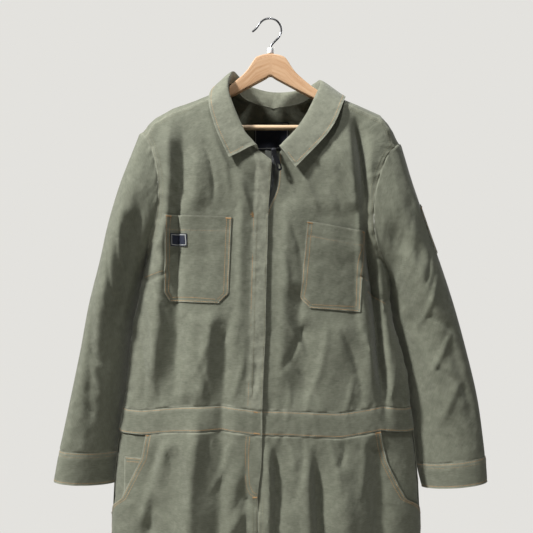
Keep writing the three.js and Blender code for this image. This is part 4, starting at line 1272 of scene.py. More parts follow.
class Nodes:
    """Short ways to wire a material's nodes."""

    def __init__(self, name: str) -> None:
        """Makes an empty material with a Principled shader."""
        self.material = bpy.data.materials.new(name)
        self.material.use_nodes = True
        self.tree = self.material.node_tree
        self.shader = self.tree.nodes["Principled BSDF"]

    def add(self, kind: str, inputs: Optional[dict] = None, **settings: object) -> bpy.types.Node:
        """Adds a node.

        Args:
            kind: Its type name after "ShaderNode".
            inputs: Values or sockets for its inputs, by name or number.
            **settings: Its attributes.

        Returns:
            The node.
        """
        node = self.tree.nodes.new("ShaderNode" + kind)
        for name, value in settings.items():
            setattr(node, name, value)
        for name, value in (inputs or {}).items():
            self.plug(value, node.inputs[name])
        return node

    def plug(self, value: object, socket: bpy.types.NodeSocket) -> None:
        """Sets a socket to a value, or links a socket to it."""
        if isinstance(value, bpy.types.NodeSocket):
            self.tree.links.new(value, socket)
        else:
            socket.default_value = value

    def math(self, operation: str, *values: object) -> bpy.types.NodeSocket:
        """A Math node's result."""
        return self.add("Math", dict(enumerate(values)), operation=operation).outputs[0]

    def noise(self, at: bpy.types.NodeSocket, scale: float, detail: float = 3, rough: float = 0.5) -> bpy.types.NodeSocket:
        """A Noise texture's value."""
        inputs = {"Vector": at, "Scale": scale, "Detail": detail, "Roughness": rough}
        return self.add("TexNoise", inputs).outputs["Fac"]

    def stretch(self, at: bpy.types.NodeSocket, scale: tuple[float, float, float]) -> bpy.types.NodeSocket:
        """Coordinates scaled along their axes."""
        return self.add("Mapping", {"Vector": at, "Scale": scale}).outputs[0]

    def blend(self, share: object, first: object, second: object, kind: str = "MIX") -> bpy.types.NodeSocket:
        """A colour mixed from two."""
        node = self.add("Mix", data_type="RGBA", blend_type=kind)
        colours = [socket for socket in node.inputs if socket.type == "RGBA"]
        self.plug(share, node.inputs[0])
        self.plug(first, colours[0])
        self.plug(second, colours[1])
        return next(socket for socket in node.outputs if socket.type == "RGBA")

    def ease(self, value: bpy.types.NodeSocket, low: float, high: float, to_low: float = 0, to_high: float = 1) -> bpy.types.NodeSocket:
        """A value mapped from one range to another, and held in it."""
        inputs = {0: value, 1: low, 2: high, 3: to_low, 4: to_high}
        return self.add("MapRange", inputs).outputs[0]

    def bump(self, height: bpy.types.NodeSocket, strength: float, distance: float, over: Optional[bpy.types.NodeSocket] = None) -> bpy.types.NodeSocket:
        """A Bump node's normal, over another one if given."""
        inputs = {"Height": height, "Strength": strength, "Distance": distance}
        if over is not None:
            inputs["Normal"] = over
        return self.add("Bump", inputs).outputs[0]

    def finish(self, **sockets: object) -> bpy.types.Material:
        """Sets the shader's sockets, named with underscores for spaces, and returns the material."""
        for name, value in sockets.items():
            self.plug(value, self.shader.inputs[name.replace("_", " ")])
        return self.material


def colour(red: int, green: int, blue: int) -> tuple[float, float, float, float]:
    """A shader's colour from one as seen on a screen, 0 to 255."""
    linear = [((c / 255 + 0.055) / 1.055) ** 2.4 if c > 10 else c / 3294.6 for c in (red, green, blue)]
    return (*linear, 1.0)


@dataclass(frozen=True)
class Twill:
    """Washed cotton twill: diagonal ribs, paler high places, and edges and seams made paler, partly from use and
    partly as a painted highlight.

    Attributes:
        name: The material's name.
        base: The cloth's colour.
        faded_and_highlight: Its paler colour, for fading from use and for the painted highlight along edges and
            seams.
        rib: Distance between ribs in metres.
    """

    name: str
    base: tuple[float, float, float, float]
    faded_and_highlight: tuple[float, float, float, float]
    rib: float = 0.0016

    def make(self) -> bpy.types.Material:
        """Builds the material."""
        n = Nodes(self.name)
        weave = n.add("UVMap", uv_map="weave").outputs[0]
        place = n.add("TexCoord").outputs["Object"]
        parts = n.add("SeparateXYZ", {0: weave})
        diagonal = n.math("ADD", parts.outputs[0], n.math("MULTIPLY", parts.outputs[1], 0.8))
        ribs = n.math("SINE", n.math("MULTIPLY", diagonal, 2 * math.pi / self.rib))
        yarn = n.noise(n.stretch(weave, (1400, 420, 1)), 1, 2, 0.6)
        slub = n.noise(n.stretch(weave, (90, 620, 1)), 1, 3, 0.6)
        cloud = n.noise(place, 9, 4, 0.6)
        patch = n.noise(place, 90, 5, 0.6)
        # Paler edges, seams, placket and collar: partly wear from use, partly a painted highlight.
        worn_and_highlight = n.add("Attribute", attribute_name="worn_and_highlight").outputs["Fac"]
        rub_and_highlight = n.math("MULTIPLY", worn_and_highlight, n.ease(n.noise(place, 160, 3, 0.6), 0.3, 0.7, 0.25, 0.8))
        dark = tuple(0.84 * c for c in self.base[:3]) + (1.0,)
        tone = n.blend(n.ease(cloud, 0.3, 0.7), dark, self.base)
        tone = n.blend(n.ease(patch, 0.42, 0.7, 0, 0.22), tone, self.faded_and_highlight)
        tone = n.blend(n.ease(slub, 0.35, 0.7, 0, 0.22), tone, self.faded_and_highlight)
        tone = n.blend(n.ease(ribs, -1, 1, 0, 0.1), tone, self.faded_and_highlight)
        tone = n.blend(n.ease(yarn, 0.35, 0.65, 0.16, 0), tone, dark)
        tone = n.blend(rub_and_highlight, tone, self.faded_and_highlight)
        woven = n.bump(n.math("ADD", ribs, n.math("MULTIPLY", yarn, 1.5)), 0.22, 0.00025)
        crumple = n.bump(n.noise(place, 62, 5, 0.55), 0.42, 0.0032, woven)
        return n.finish(
            Base_Color=tone,
            Roughness=n.ease(patch, 0.3, 0.7, 0.82, 0.94),
            Normal=crumple,
            Sheen_Weight=0.12,
            Sheen_Roughness=0.5,
            Specular_IOR_Level=0.25,
        )


@dataclass(frozen=True)
class Yarn:
    """Twisted sewing thread.

    Attributes:
        name: The material's name.
        base: Its colour.
    """

    name: str
    base: tuple[float, float, float, float]

    def make(self) -> bpy.types.Material:
        """Builds the material."""
        n = Nodes(self.name)
        place = n.add("TexCoord").outputs["Object"]
        tone = n.noise(place, 60, 3, 0.5)
        dark = tuple(0.6 * c for c in self.base[:3]) + (1.0,)
        twist = n.noise(place, 2600, 1, 0.5)
        base = n.blend(n.ease(tone, 0.3, 0.7), dark, self.base)
        return n.finish(
            Base_Color=base, Roughness=n.ease(twist, 0.3, 0.7, 0.55, 0.75), Normal=n.bump(twist, 0.4, 0.0002)
        )


@dataclass(frozen=True)
class Label:
    """A woven label with a thin pale border and nothing written on it.

    Attributes:
        name: The material's name.
        base: Its ground colour.
        border: Its border's colour.
        size: Width and height in metres.
    """

    name: str
    base: tuple[float, float, float, float]
    border: tuple[float, float, float, float]
    size: tuple[float, float]

    def make(self) -> bpy.types.Material:
        """Builds the material."""
        n = Nodes(self.name)
        weave = n.add("UVMap", uv_map="weave").outputs[0]
        parts = n.add("SeparateXYZ", {0: weave})
        inset = []
        for value, size in zip(parts.outputs, self.size):
            share = n.math("ABSOLUTE", value)
            inset.append(n.math("MINIMUM", share, n.math("SUBTRACT", size, share)))
        edge = n.math("ABSOLUTE", n.math("SUBTRACT", n.math("MINIMUM", *inset), 0.0022))
        line = n.ease(edge, 0.0004, 0.0007, 1, 0)
        wale = n.math("SINE", n.math("MULTIPLY", parts.outputs[1], 2 * math.pi / 0.0005))
        fleck = n.noise(n.stretch(weave, (900, 2400, 1)), 1, 2, 0.5)
        ground = n.blend(n.ease(fleck, 0.35, 0.7, 0, 0.3), self.base, tuple(2 * c for c in self.base[:3]) + (1.0,))
        tone = n.blend(line, ground, self.border)
        return n.finish(Base_Color=tone, Roughness=n.ease(fleck, 0.3, 0.7, 0.55, 0.75), Normal=n.bump(wale, 0.2, 0.0001))


@dataclass(frozen=True)
class Webbing:
    """The zip's woven tape, in a fine herringbone."""

    name: str
    base: tuple[float, float, float, float]

    def make(self) -> bpy.types.Material:
        """Builds the material."""
        n = Nodes(self.name)
        weave = n.add("UVMap", uv_map="weave").outputs[0]
        parts = n.add("SeparateXYZ", {0: weave})
        fold = n.math("PINGPONG", parts.outputs[0], 0.003)
        bone = n.math("SINE", n.math("MULTIPLY", n.math("ADD", fold, parts.outputs[1]), 2 * math.pi / 0.0012))
        fleck = n.noise(n.stretch(weave, (1500, 700, 1)), 1, 2, 0.5)
        pale = tuple(min(1.0, 1.35 * c) for c in self.base[:3]) + (1.0,)
        tone = n.blend(n.ease(bone, -1, 1, 0, 0.5), self.base, pale)
        tone = n.blend(n.ease(fleck, 0.4, 0.7, 0, 0.3), tone, pale)
        return n.finish(Base_Color=tone, Roughness=n.ease(fleck, 0.3, 0.7, 0.7, 0.85), Normal=n.bump(bone, 0.35, 0.0002))


@dataclass(frozen=True)
class Metal:
    """Metal with a finely brushed, slightly uneven surface.

    Attributes:
        name: The material's name.
        base: Its colour.
        gloss: Its lowest and highest roughness.
    """

    name: str
    base: tuple[float, float, float, float]
    gloss: tuple[float, float] = (0.25, 0.42)

    def make(self) -> bpy.types.Material:
        """Builds the material."""
        n = Nodes(self.name)
        place = n.add("TexCoord").outputs["Object"]
        brushed = n.noise(n.stretch(place, (3000, 3000, 500)), 1, 3, 0.6)
        stain = n.noise(place, 180, 4, 0.6)
        dull = tuple(0.55 * c for c in self.base[:3]) + (1.0,)
        tone = n.blend(n.ease(stain, 0.4, 0.75, 0, 0.6), self.base, dull)
        return n.finish(
            Base_Color=tone,
            Metallic=1.0,
            Roughness=n.ease(stain, 0.3, 0.7, *self.gloss),
            Normal=n.bump(brushed, 0.12, 0.0001),
        )


@dataclass(frozen=True)
class Beech:
    """Oiled beech: long grain, short flecks and a soft gloss.

    Attributes:
        name: The material's name.
        pale: Early wood's colour.
        deep: Late wood's colour.
    """

    name: str
    pale: tuple[float, float, float, float]
    deep: tuple[float, float, float, float]

    def make(self) -> bpy.types.Material:
        """Builds the material."""
        n = Nodes(self.name)
        grain = n.add("Attribute", attribute_name="grain").outputs["Vector"]
        wander = n.noise(n.stretch(grain, (6, 30, 30)), 1, 2, 0.5)
        lines = n.noise(n.stretch(grain, (9, 420, 260)), 1, 4, 0.6)
        bands = n.noise(n.stretch(grain, (3, 120, 90)), 1, 3, 0.5)
        fleck = n.noise(n.stretch(grain, (260, 2400, 1500)), 1, 2, 0.5)
        tone = n.blend(n.ease(lines, 0.38, 0.68), self.pale, self.deep)
        tone = n.blend(n.ease(bands, 0.4, 0.7, 0, 0.4), tone, self.deep)
        tone = n.blend(n.ease(wander, 0.35, 0.7, 0, 0.35), tone, self.pale)
        dark = tuple(0.45 * c for c in self.deep[:3]) + (1.0,)
        tone = n.blend(n.ease(fleck, 0.66, 0.74, 0, 0.55), tone, dark)
        return n.finish(
            Base_Color=tone,
            Roughness=n.ease(lines, 0.3, 0.7, 0.42, 0.58),
            Normal=n.bump(n.math("ADD", lines, fleck), 0.15, 0.0003),
            Coat_Weight=0.08,
            Coat_Roughness=0.35,
        )


@dataclass(frozen=True)
class Moulded:
    """Moulded plastic with a faint grain."""

    name: str
    base: tuple[float, float, float, float]

    def make(self) -> bpy.types.Material:
        """Builds the material."""
        n = Nodes(self.name)
        place = n.add("TexCoord").outputs["Object"]
        grain = n.noise(place, 1800, 2, 0.5)
        scuff = n.noise(place, 150, 4, 0.6)
        dull = tuple(0.84 * c for c in self.base[:3]) + (1.0,)
        return n.finish(
            Base_Color=n.blend(n.ease(scuff, 0.4, 0.7), self.base, dull),
            Roughness=n.ease(scuff, 0.3, 0.7, 0.32, 0.48),
            Normal=n.bump(grain, 0.1, 0.0001),
            Subsurface_Weight=0.05,
        )


@dataclass(frozen=True)
class Plaster:
    """The studio's matt pale floor."""

    name: str
    base: tuple[float, float, float, float]

    def make(self) -> bpy.types.Material:
        """Builds the material."""
        n = Nodes(self.name)
        place = n.add("TexCoord").outputs["Object"]
        tone = n.noise(place, 3, 3, 0.5)
        dull = tuple(0.95 * c for c in self.base[:3]) + (1.0,)
        return n.finish(Base_Color=n.blend(tone, self.base, dull), Roughness=0.9)


class Slot(Enum):
    """The kinds of material."""

    TWILL = "twill"
    LABEL = "label"
    TAPE = "zip_tape"
    ZIP = "zip_metal"
    WOOD = "beech"
    STEEL = "steel"
    PLASTIC = "plastic"


@dataclass
class Finishes:
    """Every material of the suit and its hanger, each made once."""

    def __post_init__(self) -> None:
        """Makes the materials."""
        # The pale colour serves fading from use and also paints highlights along edges, seams, the placket and the
        # collar.
        olive, worn_and_highlight = colour(98, 101, 86), colour(150, 151, 135)
        navy, border = colour(24, 30, 46), colour(170, 172, 168)
        self.twill = Twill("washed_twill", olive, worn_and_highlight).make()
        self.thread = Yarn("tan_thread", colour(186, 146, 98)).make()
        self.seam_thread = Yarn("olive_thread", colour(132, 130, 106)).make()
        self.label_colours = (navy, border)
        self.neck_label = Label("neck_label_weave", navy, border, (0.062, 0.0488)).make()
        self.tape = Webbing("zip_tape_weave", colour(62, 64, 58)).make()
        self.gunmetal = Metal("gunmetal", colour(66, 67, 70), (0.3, 0.5)).make()
        self.steel = Metal("plated_steel", colour(138, 139, 142), (0.2, 0.34)).make()
        self.beech = Beech("oiled_beech", colour(206, 170, 134), colour(180, 136, 96)).make()
        self.pale_beech = Beech("plain_beech", colour(212, 186, 152), colour(192, 160, 122)).make()
        self.plastic = Moulded("white_plastic", colour(236, 236, 236)).make()


@dataclass
class Shop:
    """Hands finished pieces over to the frame.

    Attributes:
        finishes: The materials.
        thread: The tan top stitching.
        seams: The olive stitching of the armholes and the yoke.
    """

    finishes: Finishes
    thread: Thread
    seams: Thread

    def place(self, obj: bpy.types.Object, material: bpy.types.Material, slot: Slot, nodes: Sequence[str] = (), body: str = "garment") -> None:
        """Dresses a piece, hides the CAD nodes that it replaces and attaches it to its body.

        Args:
            obj: The piece.
            material: Its finish.
            slot: Not used.
            nodes: Names of the CAD nodes that it replaces.
            body: The body that it moves with.
        """
        obj.data.materials.clear()
        obj.data.materials.append(material)
        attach(obj, body)
        if nodes:
            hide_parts(*nodes)
        log.info("%s: %d faces", obj.name, len(obj.data.polygons))

    def cloth(self, name: str, panels: Sequence[Panel], node: str, rests_on: Sequence[str], material: Optional[bpy.types.Material] = None, slot: Slot = Slot.TWILL) -> bpy.types.Object:
        """Args:
            name: The piece's name.
            panels: Its panels.
            node: Name of the CAD node that it replaces.
            rests_on: Names of what it hangs from; not used.
            material: Its finish, when it isn't twill.
            slot: The kind of that finish, handed on to place.

        Returns:
            The piece.
        """
        obj, cut = sew(name, panels)
        self.place(obj, material or self.finishes.twill, slot, (node,))
        log.info("%s: cut %.0f x %.0f mm, %.4f square metres", name, cut.width / MM, cut.length / MM, cut.area)
        return obj


SNUG_INNER = 0.0004
SNUG_OUTER = 0.9994


def near_zero(b: Array) -> Array:
    """The inner rim of a panel that keeps a hair's breadth from its seam."""
    return np.full_like(b, SNUG_INNER)


def near_one(b: Array) -> Array:
    """The outer rim of a panel that keeps a hair's breadth from its seam."""
    return np.full_like(b, SNUG_OUTER)


def on_bodice(side: Side) -> Surface:
    """The bodice's surface on a side."""
    return lambda s, v: bodice(side, s, v)


def on_leg(side: Side, face: Face) -> Surface:
    """A leg face's surface."""
    return lambda s, v: trousers(side, face, s, v)


def on_waist(side: Side, face: Face) -> Surface:
    """The waistband's surface."""
    return lambda s, q: waist(side, face, s, q)


def on_sleeve(side: Side) -> Surface:
    """A sleeve's surface, its first coordinate a share of the way round."""
    return lambda turn, w: sleeve(side, turn * 360, w)


@dataclass
class Bodice:
    """Fronts, yoke, back, collar, chest pockets and labels.

    Attributes:
        placket: Width of the doubled band along the right front's edge.
        hem: Depth of the chest pockets' top hem.
        tack: Bodice station at which the placket's stitching ends in a bar tack.
    """

    DARTS = {
        Side.RIGHT: (((-177, -463), (-212, -474)),),
        Side.LEFT: (((156, -472), (172, -481)), ((170, -498), (202, -520))),
    }

    shop: Shop
    placket: float = 24.5
    hem: float = 25
    tack: float = 5.95

    def build(self) -> None:
        """Builds all of the bodice's pieces."""
        self.fronts = {side: self.front(side) for side in Side}
        self.yoke()
        self.back()
        self.collar()
        self.pockets()
        self.labels()

    def front(self, side: Side) -> Panel:
        """Builds a front and its stitching.

        Args:
            side: The wearer's side.

        Returns:
            Its panel.
        """
        cut = Span(0.006, FRONT_YOKE - 0.008, near_zero, near_one)
        armpit = (FRONT_ARMPIT - 0.006) / (FRONT_YOKE - 0.014)
        neck = (FRONT_NECK - 0.006) / (FRONT_YOKE - 0.014)

        def band(r: Array, c: Array) -> Array:
            """The share of the doubled band beside the opening."""
            inner = panel.distances(r, c)[2]
            return (1 - smooth(self.placket - 1.2, self.placket + 1.2, inner)) * (1 - smooth(neck, neck + 0.04, r))

        def swell(r: Array, c: Array) -> Array:
            """The band's height."""
            down, _, inner, _ = panel.distances(r, c)
            ripple = 0.9 * NOISE.at(down / 13 + 5, inner / 18) + 0.6 * NOISE.at(down / 6, inner / 9 + 8)
            return band(r, c) * (1.3 + ripple * smooth(0, 5, inner))

        right = side is Side.RIGHT
        panel = Panel(
            on_bodice(side),
            side.out,
            cut,
            edges=(Edge.SEAM, Edge.SEAM, Edge.FREE, Edge.SEAM),
            puckers=(2.0, 1.2, 0.3, 2.0),
            grooves=((Rim.INNER, self.placket), (Rim.OUTER, 3.0)) if right else (),
            seed=11.3 if right else 23.9,
        )
        if right:
            panel.swell = swell
            # The doubled band is painted paler: partly wear from use, partly a painted highlight.
            panel.rubbed_and_highlight = lambda r, c: 0.62 * band(r, c)
        self.shop.cloth(f"front_{side.value}_cloth", [panel], f"front_{side.value}", ["yoke"])
        thread = self.shop.thread
        edge = panel.down[:, 0]
        top = edge[-1] - np.interp(neck, panel.r_stops, edge)
        if right:
            self.shop.seams.rim(panel, Rim.INNER, (2.2,), 1, top)
            tack = (self.tack - 0.006) / (FRONT_YOKE - 0.014)
            stop = np.interp(tack, panel.r_stops, edge)
            self.shop.seams.rim(panel, Rim.INNER, (self.placket - 5.5,), 1, edge[-1] - stop)
            thread.rim(panel, Rim.INNER, (self.placket,), 1, edge[-1] - stop)
            width = np.interp(tack, panel.r_stops, panel.across[:, -1])
            for lean in (0, 60, 120):
                thread.tack(panel, tack, (self.placket - 2.5) / width, lean, 9)
        else:
            thread.rim(panel, Rim.INNER, (2.2,), 1, top)
        arm = np.interp(armpit, panel.r_stops, panel.down[:, -1])
        self.shop.seams.rim(panel, Rim.END, (2.2, 7.5), 2, 2)
        self.shop.seams.rim(panel, Rim.OUTER, (3, 9), arm, 2)
        for near, far in self.DARTS[side]:
            x, z = np.linspace(near, far, 40).T
            thread.line(panel, *cut.shares(*locate(panel.surface, x, z, (0.8, 3.5))))
        return panel

    def half(self, side: Side, start: float, stop: float, **changes: object) -> Panel:
        """One half of a piece that crosses the centre back."""
        cut = Span(start, stop, np.zeros_like, near_one)
        settings = {
            "edges": (Edge.SEAM, Edge.SEAM, Edge.FLUSH, Edge.SEAM),
            "puckers": (1.0, 1.0, 0, 1.1),
            "seed": 5.0 if side is Side.RIGHT else 31.0,
            **changes,
        }
        return Panel(on_bodice(side), side.out, cut, **settings)

    def yoke(self) -> None:
        """Builds the yoke over both shoulders."""
        halves = [self.half(side, FRONT_YOKE + 0.008, BACK_YOKE - 0.004) for side in Side]
        self.shop.cloth("yoke_cloth", halves, "yoke", ["hanger_arms"])
        for half in halves:
            self.shop.seams.rim(half, Rim.OUTER, (3, 9), 2, 2)

    def back(self) -> None:
        """Builds the back."""
        halves = [
            self.half(side, BACK_YOKE + 0.004, BACK_WAIST - 0.006, puckers=(1.0, 1.7, 0, 1.0))
            for side in Side
        ]
        self.shop.cloth("back_cloth", halves, "back", ["yoke"])
        armpit = (BACK_ARMPIT - BACK_YOKE) / (BACK_WAIST - BACK_YOKE)
        for half in halves:
            thread = self.shop.seams
            thread.rim(half, Rim.START, (2.2, 7.5), 0, 2)
            rim = half.down[:, -1]
            thread.rim(half, Rim.OUTER, (3, 9), 2, rim[-1] - np.interp(armpit, half.r_stops, rim))

    def collar(self) -> None:
        """Builds the collar."""
        # The collar's first coordinate runs round the neck, so it is cut along c.
        leaf = Panel(
            lambda u, t: collar(t, u),
            -1,
            Span(0, COLLAR_END),
            edges=(Edge.FREE, Edge.FREE, Edge.FREE, Edge.FREE),
            puckers=(0.5, 0.5, 0.2, 0.6),
            wall=1.9,
            pitch=3.6,
            grooves=((Rim.OUTER, 5.0), (Rim.START, 5.0), (Rim.END, 5.0)),
            # The whole collar is painted paler: partly wear from use, partly a painted highlight.
            rubbed_and_highlight=lambda r, c: np.full_like(r, 0.4),
            seed=47.0,
        )
        self.shop.cloth("collar_cloth", [leaf], "collar", ["yoke"])
        thread = self.shop.thread
        thread.rim(leaf, Rim.OUTER, (5.0,), 5, 5)
        half = leaf.across[0, -1] / 2
        thread.rim(leaf, Rim.START, (5.0,), half, 5)
        thread.rim(leaf, Rim.END, (5.0,), half, 5)

    POCKETS = {
        Side.RIGHT: (
            ((0, -173, -368), (0.875, -176, -499), (1, -167, -515)),
            ((0, -61, -372), (0.875, -66, -502), (1, -83, -518)),
        ),
        Side.LEFT: (
            ((0, 67, -379), (0.875, 55, -508), (1, 71, -526)),
            ((0, 163, -396), (0.875, 158, -517), (1, 157, -533)),
        ),
    }

    def pockets(self) -> None:
        """Builds the chest pockets."""
        for side, (left, right) in self.POCKETS.items():
            def swell(r: Array, c: Array, side: Side = side) -> Array:
                """The open top stands off a little."""
                start, end, inner, outer = panel.distances(r, c)
                middle = smooth(0, 22, np.minimum(inner, outer)) * smooth(0, 22, end)
                return middle * (0.9 + 1.3 * np.exp(-start / 12)) + 0.5 * (1 - smooth(24, 26, start))

            quad = Quad(on_bodice(side), left, right, (0.5, 4.0))
            panel = Panel(
                on_bodice(side),
                side.out,
                quad,
                edges=(Edge.FREE,) * 4,
                puckers=(0.2, 0.6, 0.5, 0.5),
                wall=1.1,
                lift=1.75,
                pitch=3.6,
                grooves=((Rim.START, self.hem),),
                seed=61.0 if side is Side.RIGHT else 67.0,
            )
            panel.swell = swell
            name = f"chest_pocket_{side.value}"
            self.shop.cloth(f"{name}_cloth", [panel], name, [f"front_{side.value}"])
            thread = self.shop.thread
            thread.rim(panel, Rim.START, (self.hem,), 2, 2)
            for rim in (Rim.INNER, Rim.OUTER):
                thread.rim(panel, rim, (2.0,), 1, 2)
                thread.rim(panel, rim, (8.0,), 1, 8)
            thread.rim(panel, Rim.END, (2.0,), 2, 2)
            thread.rim(panel, Rim.END, (8.0,), 8, 8)
            for c in (0.045, 0.955):
                thread.tack(panel, 0.02, c, 0, 9)

    def labels(self) -> None:
        """Builds the chest label and the label inside the back neck."""
        surface = on_bodice(Side.RIGHT)
        quad = Quad(surface, ((0, -167, -399), (1, -167, -420)), ((0, -136, -400), (1, -136, -421)), (0.7, 5.0))
        chest = Panel(surface, Side.RIGHT.out, quad, (Edge.FREE,) * 4, (0.1,) * 4, wall=0.6, lift=4.4, pitch=1.6)
        shop = self.shop
        size = (float(chest.across[10, -1]) * MM, float(chest.down[-1, 30]) * MM)
        finish = Label("chest_label_weave", *shop.finishes.label_colours, size).make()
        shop.cloth("chest_label_cloth", [chest], "chest_label", ["chest_pocket_right"], finish, Slot.LABEL)

        def inside(u: Array, v: Array) -> Array:
            """The back's surface on both sides of its centre."""
            right, left = bodice(Side.RIGHT, np.abs(u), v), bodice(Side.LEFT, np.abs(u), v)
            return np.where((u < 0)[..., None], right, left)

        quad = Quad(inside, ((0, -24, -192), (1, -24, -240)), ((0, 38, -190), (1, 38, -239)), (0.0, 13.4))
        neck = Panel(inside, -1, quad, (Edge.FREE,) * 4, (0.3,) * 4, wall=0.6, lift=1.4, pitch=3.2)
        shop.cloth("neck_label_cloth", [neck], "neck_label", ["yoke"], shop.finishes.neck_label, Slot.LABEL)


@dataclass
class Waistband:
    """The set-in waistband."""

    shop: Shop

    def build(self) -> None:
        """Builds the two fronts and the back."""
        grooves = ((Rim.START, 2.4), (Rim.END, 2.4))
        for side in Side:
            panel = Panel(
                on_waist(side, Face.FRONT),
                -side.out,
                Span(0.006, 0.994, near_zero, near_one),
                edges=(Edge.SEAM, Edge.SEAM, Edge.FREE, Edge.SEAM),
                puckers=(0.9, 0.9, 0.2, 0.5),
                wall=1.9,
                lift=0.5,
                pitch=3.8,
                grooves=grooves,
                seed=71.0 if side is Side.RIGHT else 73.0,
            )
            name = f"waistband_{side.value}"
            self.shop.cloth(f"{name}_cloth", [panel], name, [f"front_{side.value}"])
            for rim in (Rim.START, Rim.END):
                self.shop.thread.rim(panel, rim, (2.4,), 2, 2)
            if side is Side.RIGHT:
                for share in (0.07, 0.93):
                    self.shop.thread.tack(panel, share, 6 / panel.across[0, -1], 0, 9)
        halves = [
            Panel(
                on_waist(side, Face.BACK),
                side.out,
                Span(0.006, 0.994, np.zeros_like, near_one),
                edges=(Edge.SEAM, Edge.SEAM, Edge.FLUSH, Edge.SEAM),
                puckers=(0.9, 0.9, 0, 0.5),
                wall=1.9,
                lift=0.5,
                pitch=3.8,
                grooves=grooves,
                seed=79.0,
            )
            for side in Side
        ]
        self.shop.cloth("waistband_back_cloth", halves, "waistband_back", ["back"])
        for half in halves:
            for rim in (Rim.START, Rim.END):
                self.shop.thread.rim(half, rim, (2.4,), 0, 2)


@dataclass
class Trousers:
    """Legs, the slanted pocket openings, their facings and the coin pocket.

    Attributes:
        slant: Points of each opening's edge, as x and z.
        hem: Depth of the leg's hem.
        facing_lift: How far the facing lies behind the front.
        coin_lift: How far the coin pocket lies behind it.
    """

    shop: Shop
    hem: float = 24
    facing_lift: float = -3.0
    coin_lift: float = -1.6
    curve: float = 32
    slant: dict[Side, tuple[tuple[float, float], ...]] = field(
        default_factory=lambda: {
            Side.RIGHT: ((-206, -737), (-214, -780), (-238, -828), (-262, -879)),
            Side.LEFT: ((190, -737), (202, -787), (222, -827), (251, -879)),
        }
    )

    def station(self, side: Side, z: float) -> float:
        """The station at which a leg's rows have a given height."""
        v = np.linspace(0, HEM_STATION, 4001)
        return float(np.interp(-z, -LEG[side].at("z", v), v))

    def share(self, side: Side, v: Array, x: Array) -> Array:
        """The row share at which a leg front's rows have a given x."""
        surface = on_leg(side, Face.FRONT)
        low, high = np.zeros_like(v), np.ones_like(v)
        sign = 1 if side is Side.LEFT else -1
        for _ in range(26):
            middle = (low + high) / 2
            short = sign * (surface(middle, v)[..., 0] - x) < 0
            low, high = np.where(short, middle, low), np.where(short, high, middle)
        return (low + high) / 2

    def edge(self, side: Side, shift: float = 0.0) -> Callable[[Array], Array]:
        """The outer rim of a front: the slant, then the side seam.

        Args:
            side: The wearer's side.
            shift: Distance of the rim from the slant, to the viewer's right.

        Returns:
            The rim's row shares for stations.
        """
        stations = np.linspace(0, self.station(side, self.slant[side][-1][1]), 60)
        z = LEG[side].at("z", stations)
        x_stops, z_stops = np.array(self.slant[side]).T
        shares = self.share(side, stations, np.interp(-z, -z_stops, x_stops) + shift)
        turn = self.station(side, self.slant[side][-1][1] + self.curve)
        slanted = lambda v: np.minimum(np.interp(v, stations, shares), SNUG_OUTER)
        return lambda v: mix(slanted(v), SNUG_OUTER, smooth(turn, stations[-1], v))

    def build(self) -> None:
        """Builds every piece of both legs."""
        for side in Side:
            self.leg_front(side)
            self.leg_back(side)
            self.facing(side)
        self.coin_pocket()

    def leg_front(self, side: Side) -> None:
        """Builds a leg front."""
        end = self.station(side, self.slant[side][-1][1])
        turn = (end - 0.006) / (HEM_STATION - 0.006)

        def swell(r: Array, c: Array) -> Array:
            """The side seam below the opening, drawn in."""
            _, _, inner, outer = panel.distances(r, c)
            seam = smooth(turn, turn + 0.01, r)
            slack = 1.4 * (1 - seam) * bell((outer - 30) / 22) * smooth(0, 0.03, r)
            return slack - 0.75 * bell(outer / 1.5) * seam

        panel = Panel(
            on_leg(side, Face.FRONT),
            -side.out,
            Span(0.006, HEM_STATION, near_zero, self.edge(side)),
            edges=(Edge.SEAM, Edge.FREE, Edge.SEAM, Edge.FREE),
            puckers=(2.2, 0.9, 0.9, 0.6),
            pitch=6.0,
            grooves=((Rim.END, self.hem),),
            seed=13.0 if side is Side.RIGHT else 17.0,
        )
        panel.swell = swell
        name = f"leg_front_{side.value}"
        self.shop.cloth(f"{name}_cloth", [panel], name, [f"waistband_{side.value}"])
        thread = self.shop.thread
        thread.rim(panel, Rim.END, (self.hem,), 1, 1)
        rim = panel.down[:, -1]
        stop = np.interp(turn, panel.r_stops, rim)
        thread.rim(panel, Rim.OUTER, (3.5, 9.5), 2, rim[-1] - stop + 2)
        thread.rim(panel, Rim.OUTER, (2.5,), stop, 2)
        line = panel.down[:, 0]
        fly = np.interp((self.station(side, FLY_END) - 0.006) / (HEM_STATION - 0.006), panel.r_stops, line)
        if side is Side.RIGHT:
            self.fly(panel)
        self.shop.seams.rim(panel, Rim.INNER, (2.5, 8.0), fly + 2, 2)
        for share in (0.004, turn - 0.001):
            distance = 6.0
            width = np.interp(share, panel.r_stops, panel.across[:, -1])
            thread.tack(panel, share, 1 - distance / width, 0, 9)

    def fly(self, panel: Panel) -> None:
        """Sews the curved line that closes the fly."""
        x = np.array([-35.5, -37, -37, -35, -29.5, -20])
        z = np.array([-739, -760, -800, -822, -834, -838.5])
        t, fine = np.linspace(0, 1, len(x)), np.linspace(0, 1, 200)
        for shift in (0.0, 5.5):
            xs, zs = np.interp(fine, t, x) + shift, np.interp(fine, t, z) + shift * np.linspace(0, 0.8, 200)
            a, b = locate(panel.surface, xs, zs, (0.1, 1.0))
            self.shop.thread.line(panel, *panel.cut.shares(a, b))
        x, z = np.array([(-36, -829), (-21, -839)], float).T
        for r, c, lean in zip(*panel.cut.shares(*locate(panel.surface, x, z, (0.1, 1.0))), (90, 10)):
            self.shop.thread.tack(panel, r, c, lean, 8)

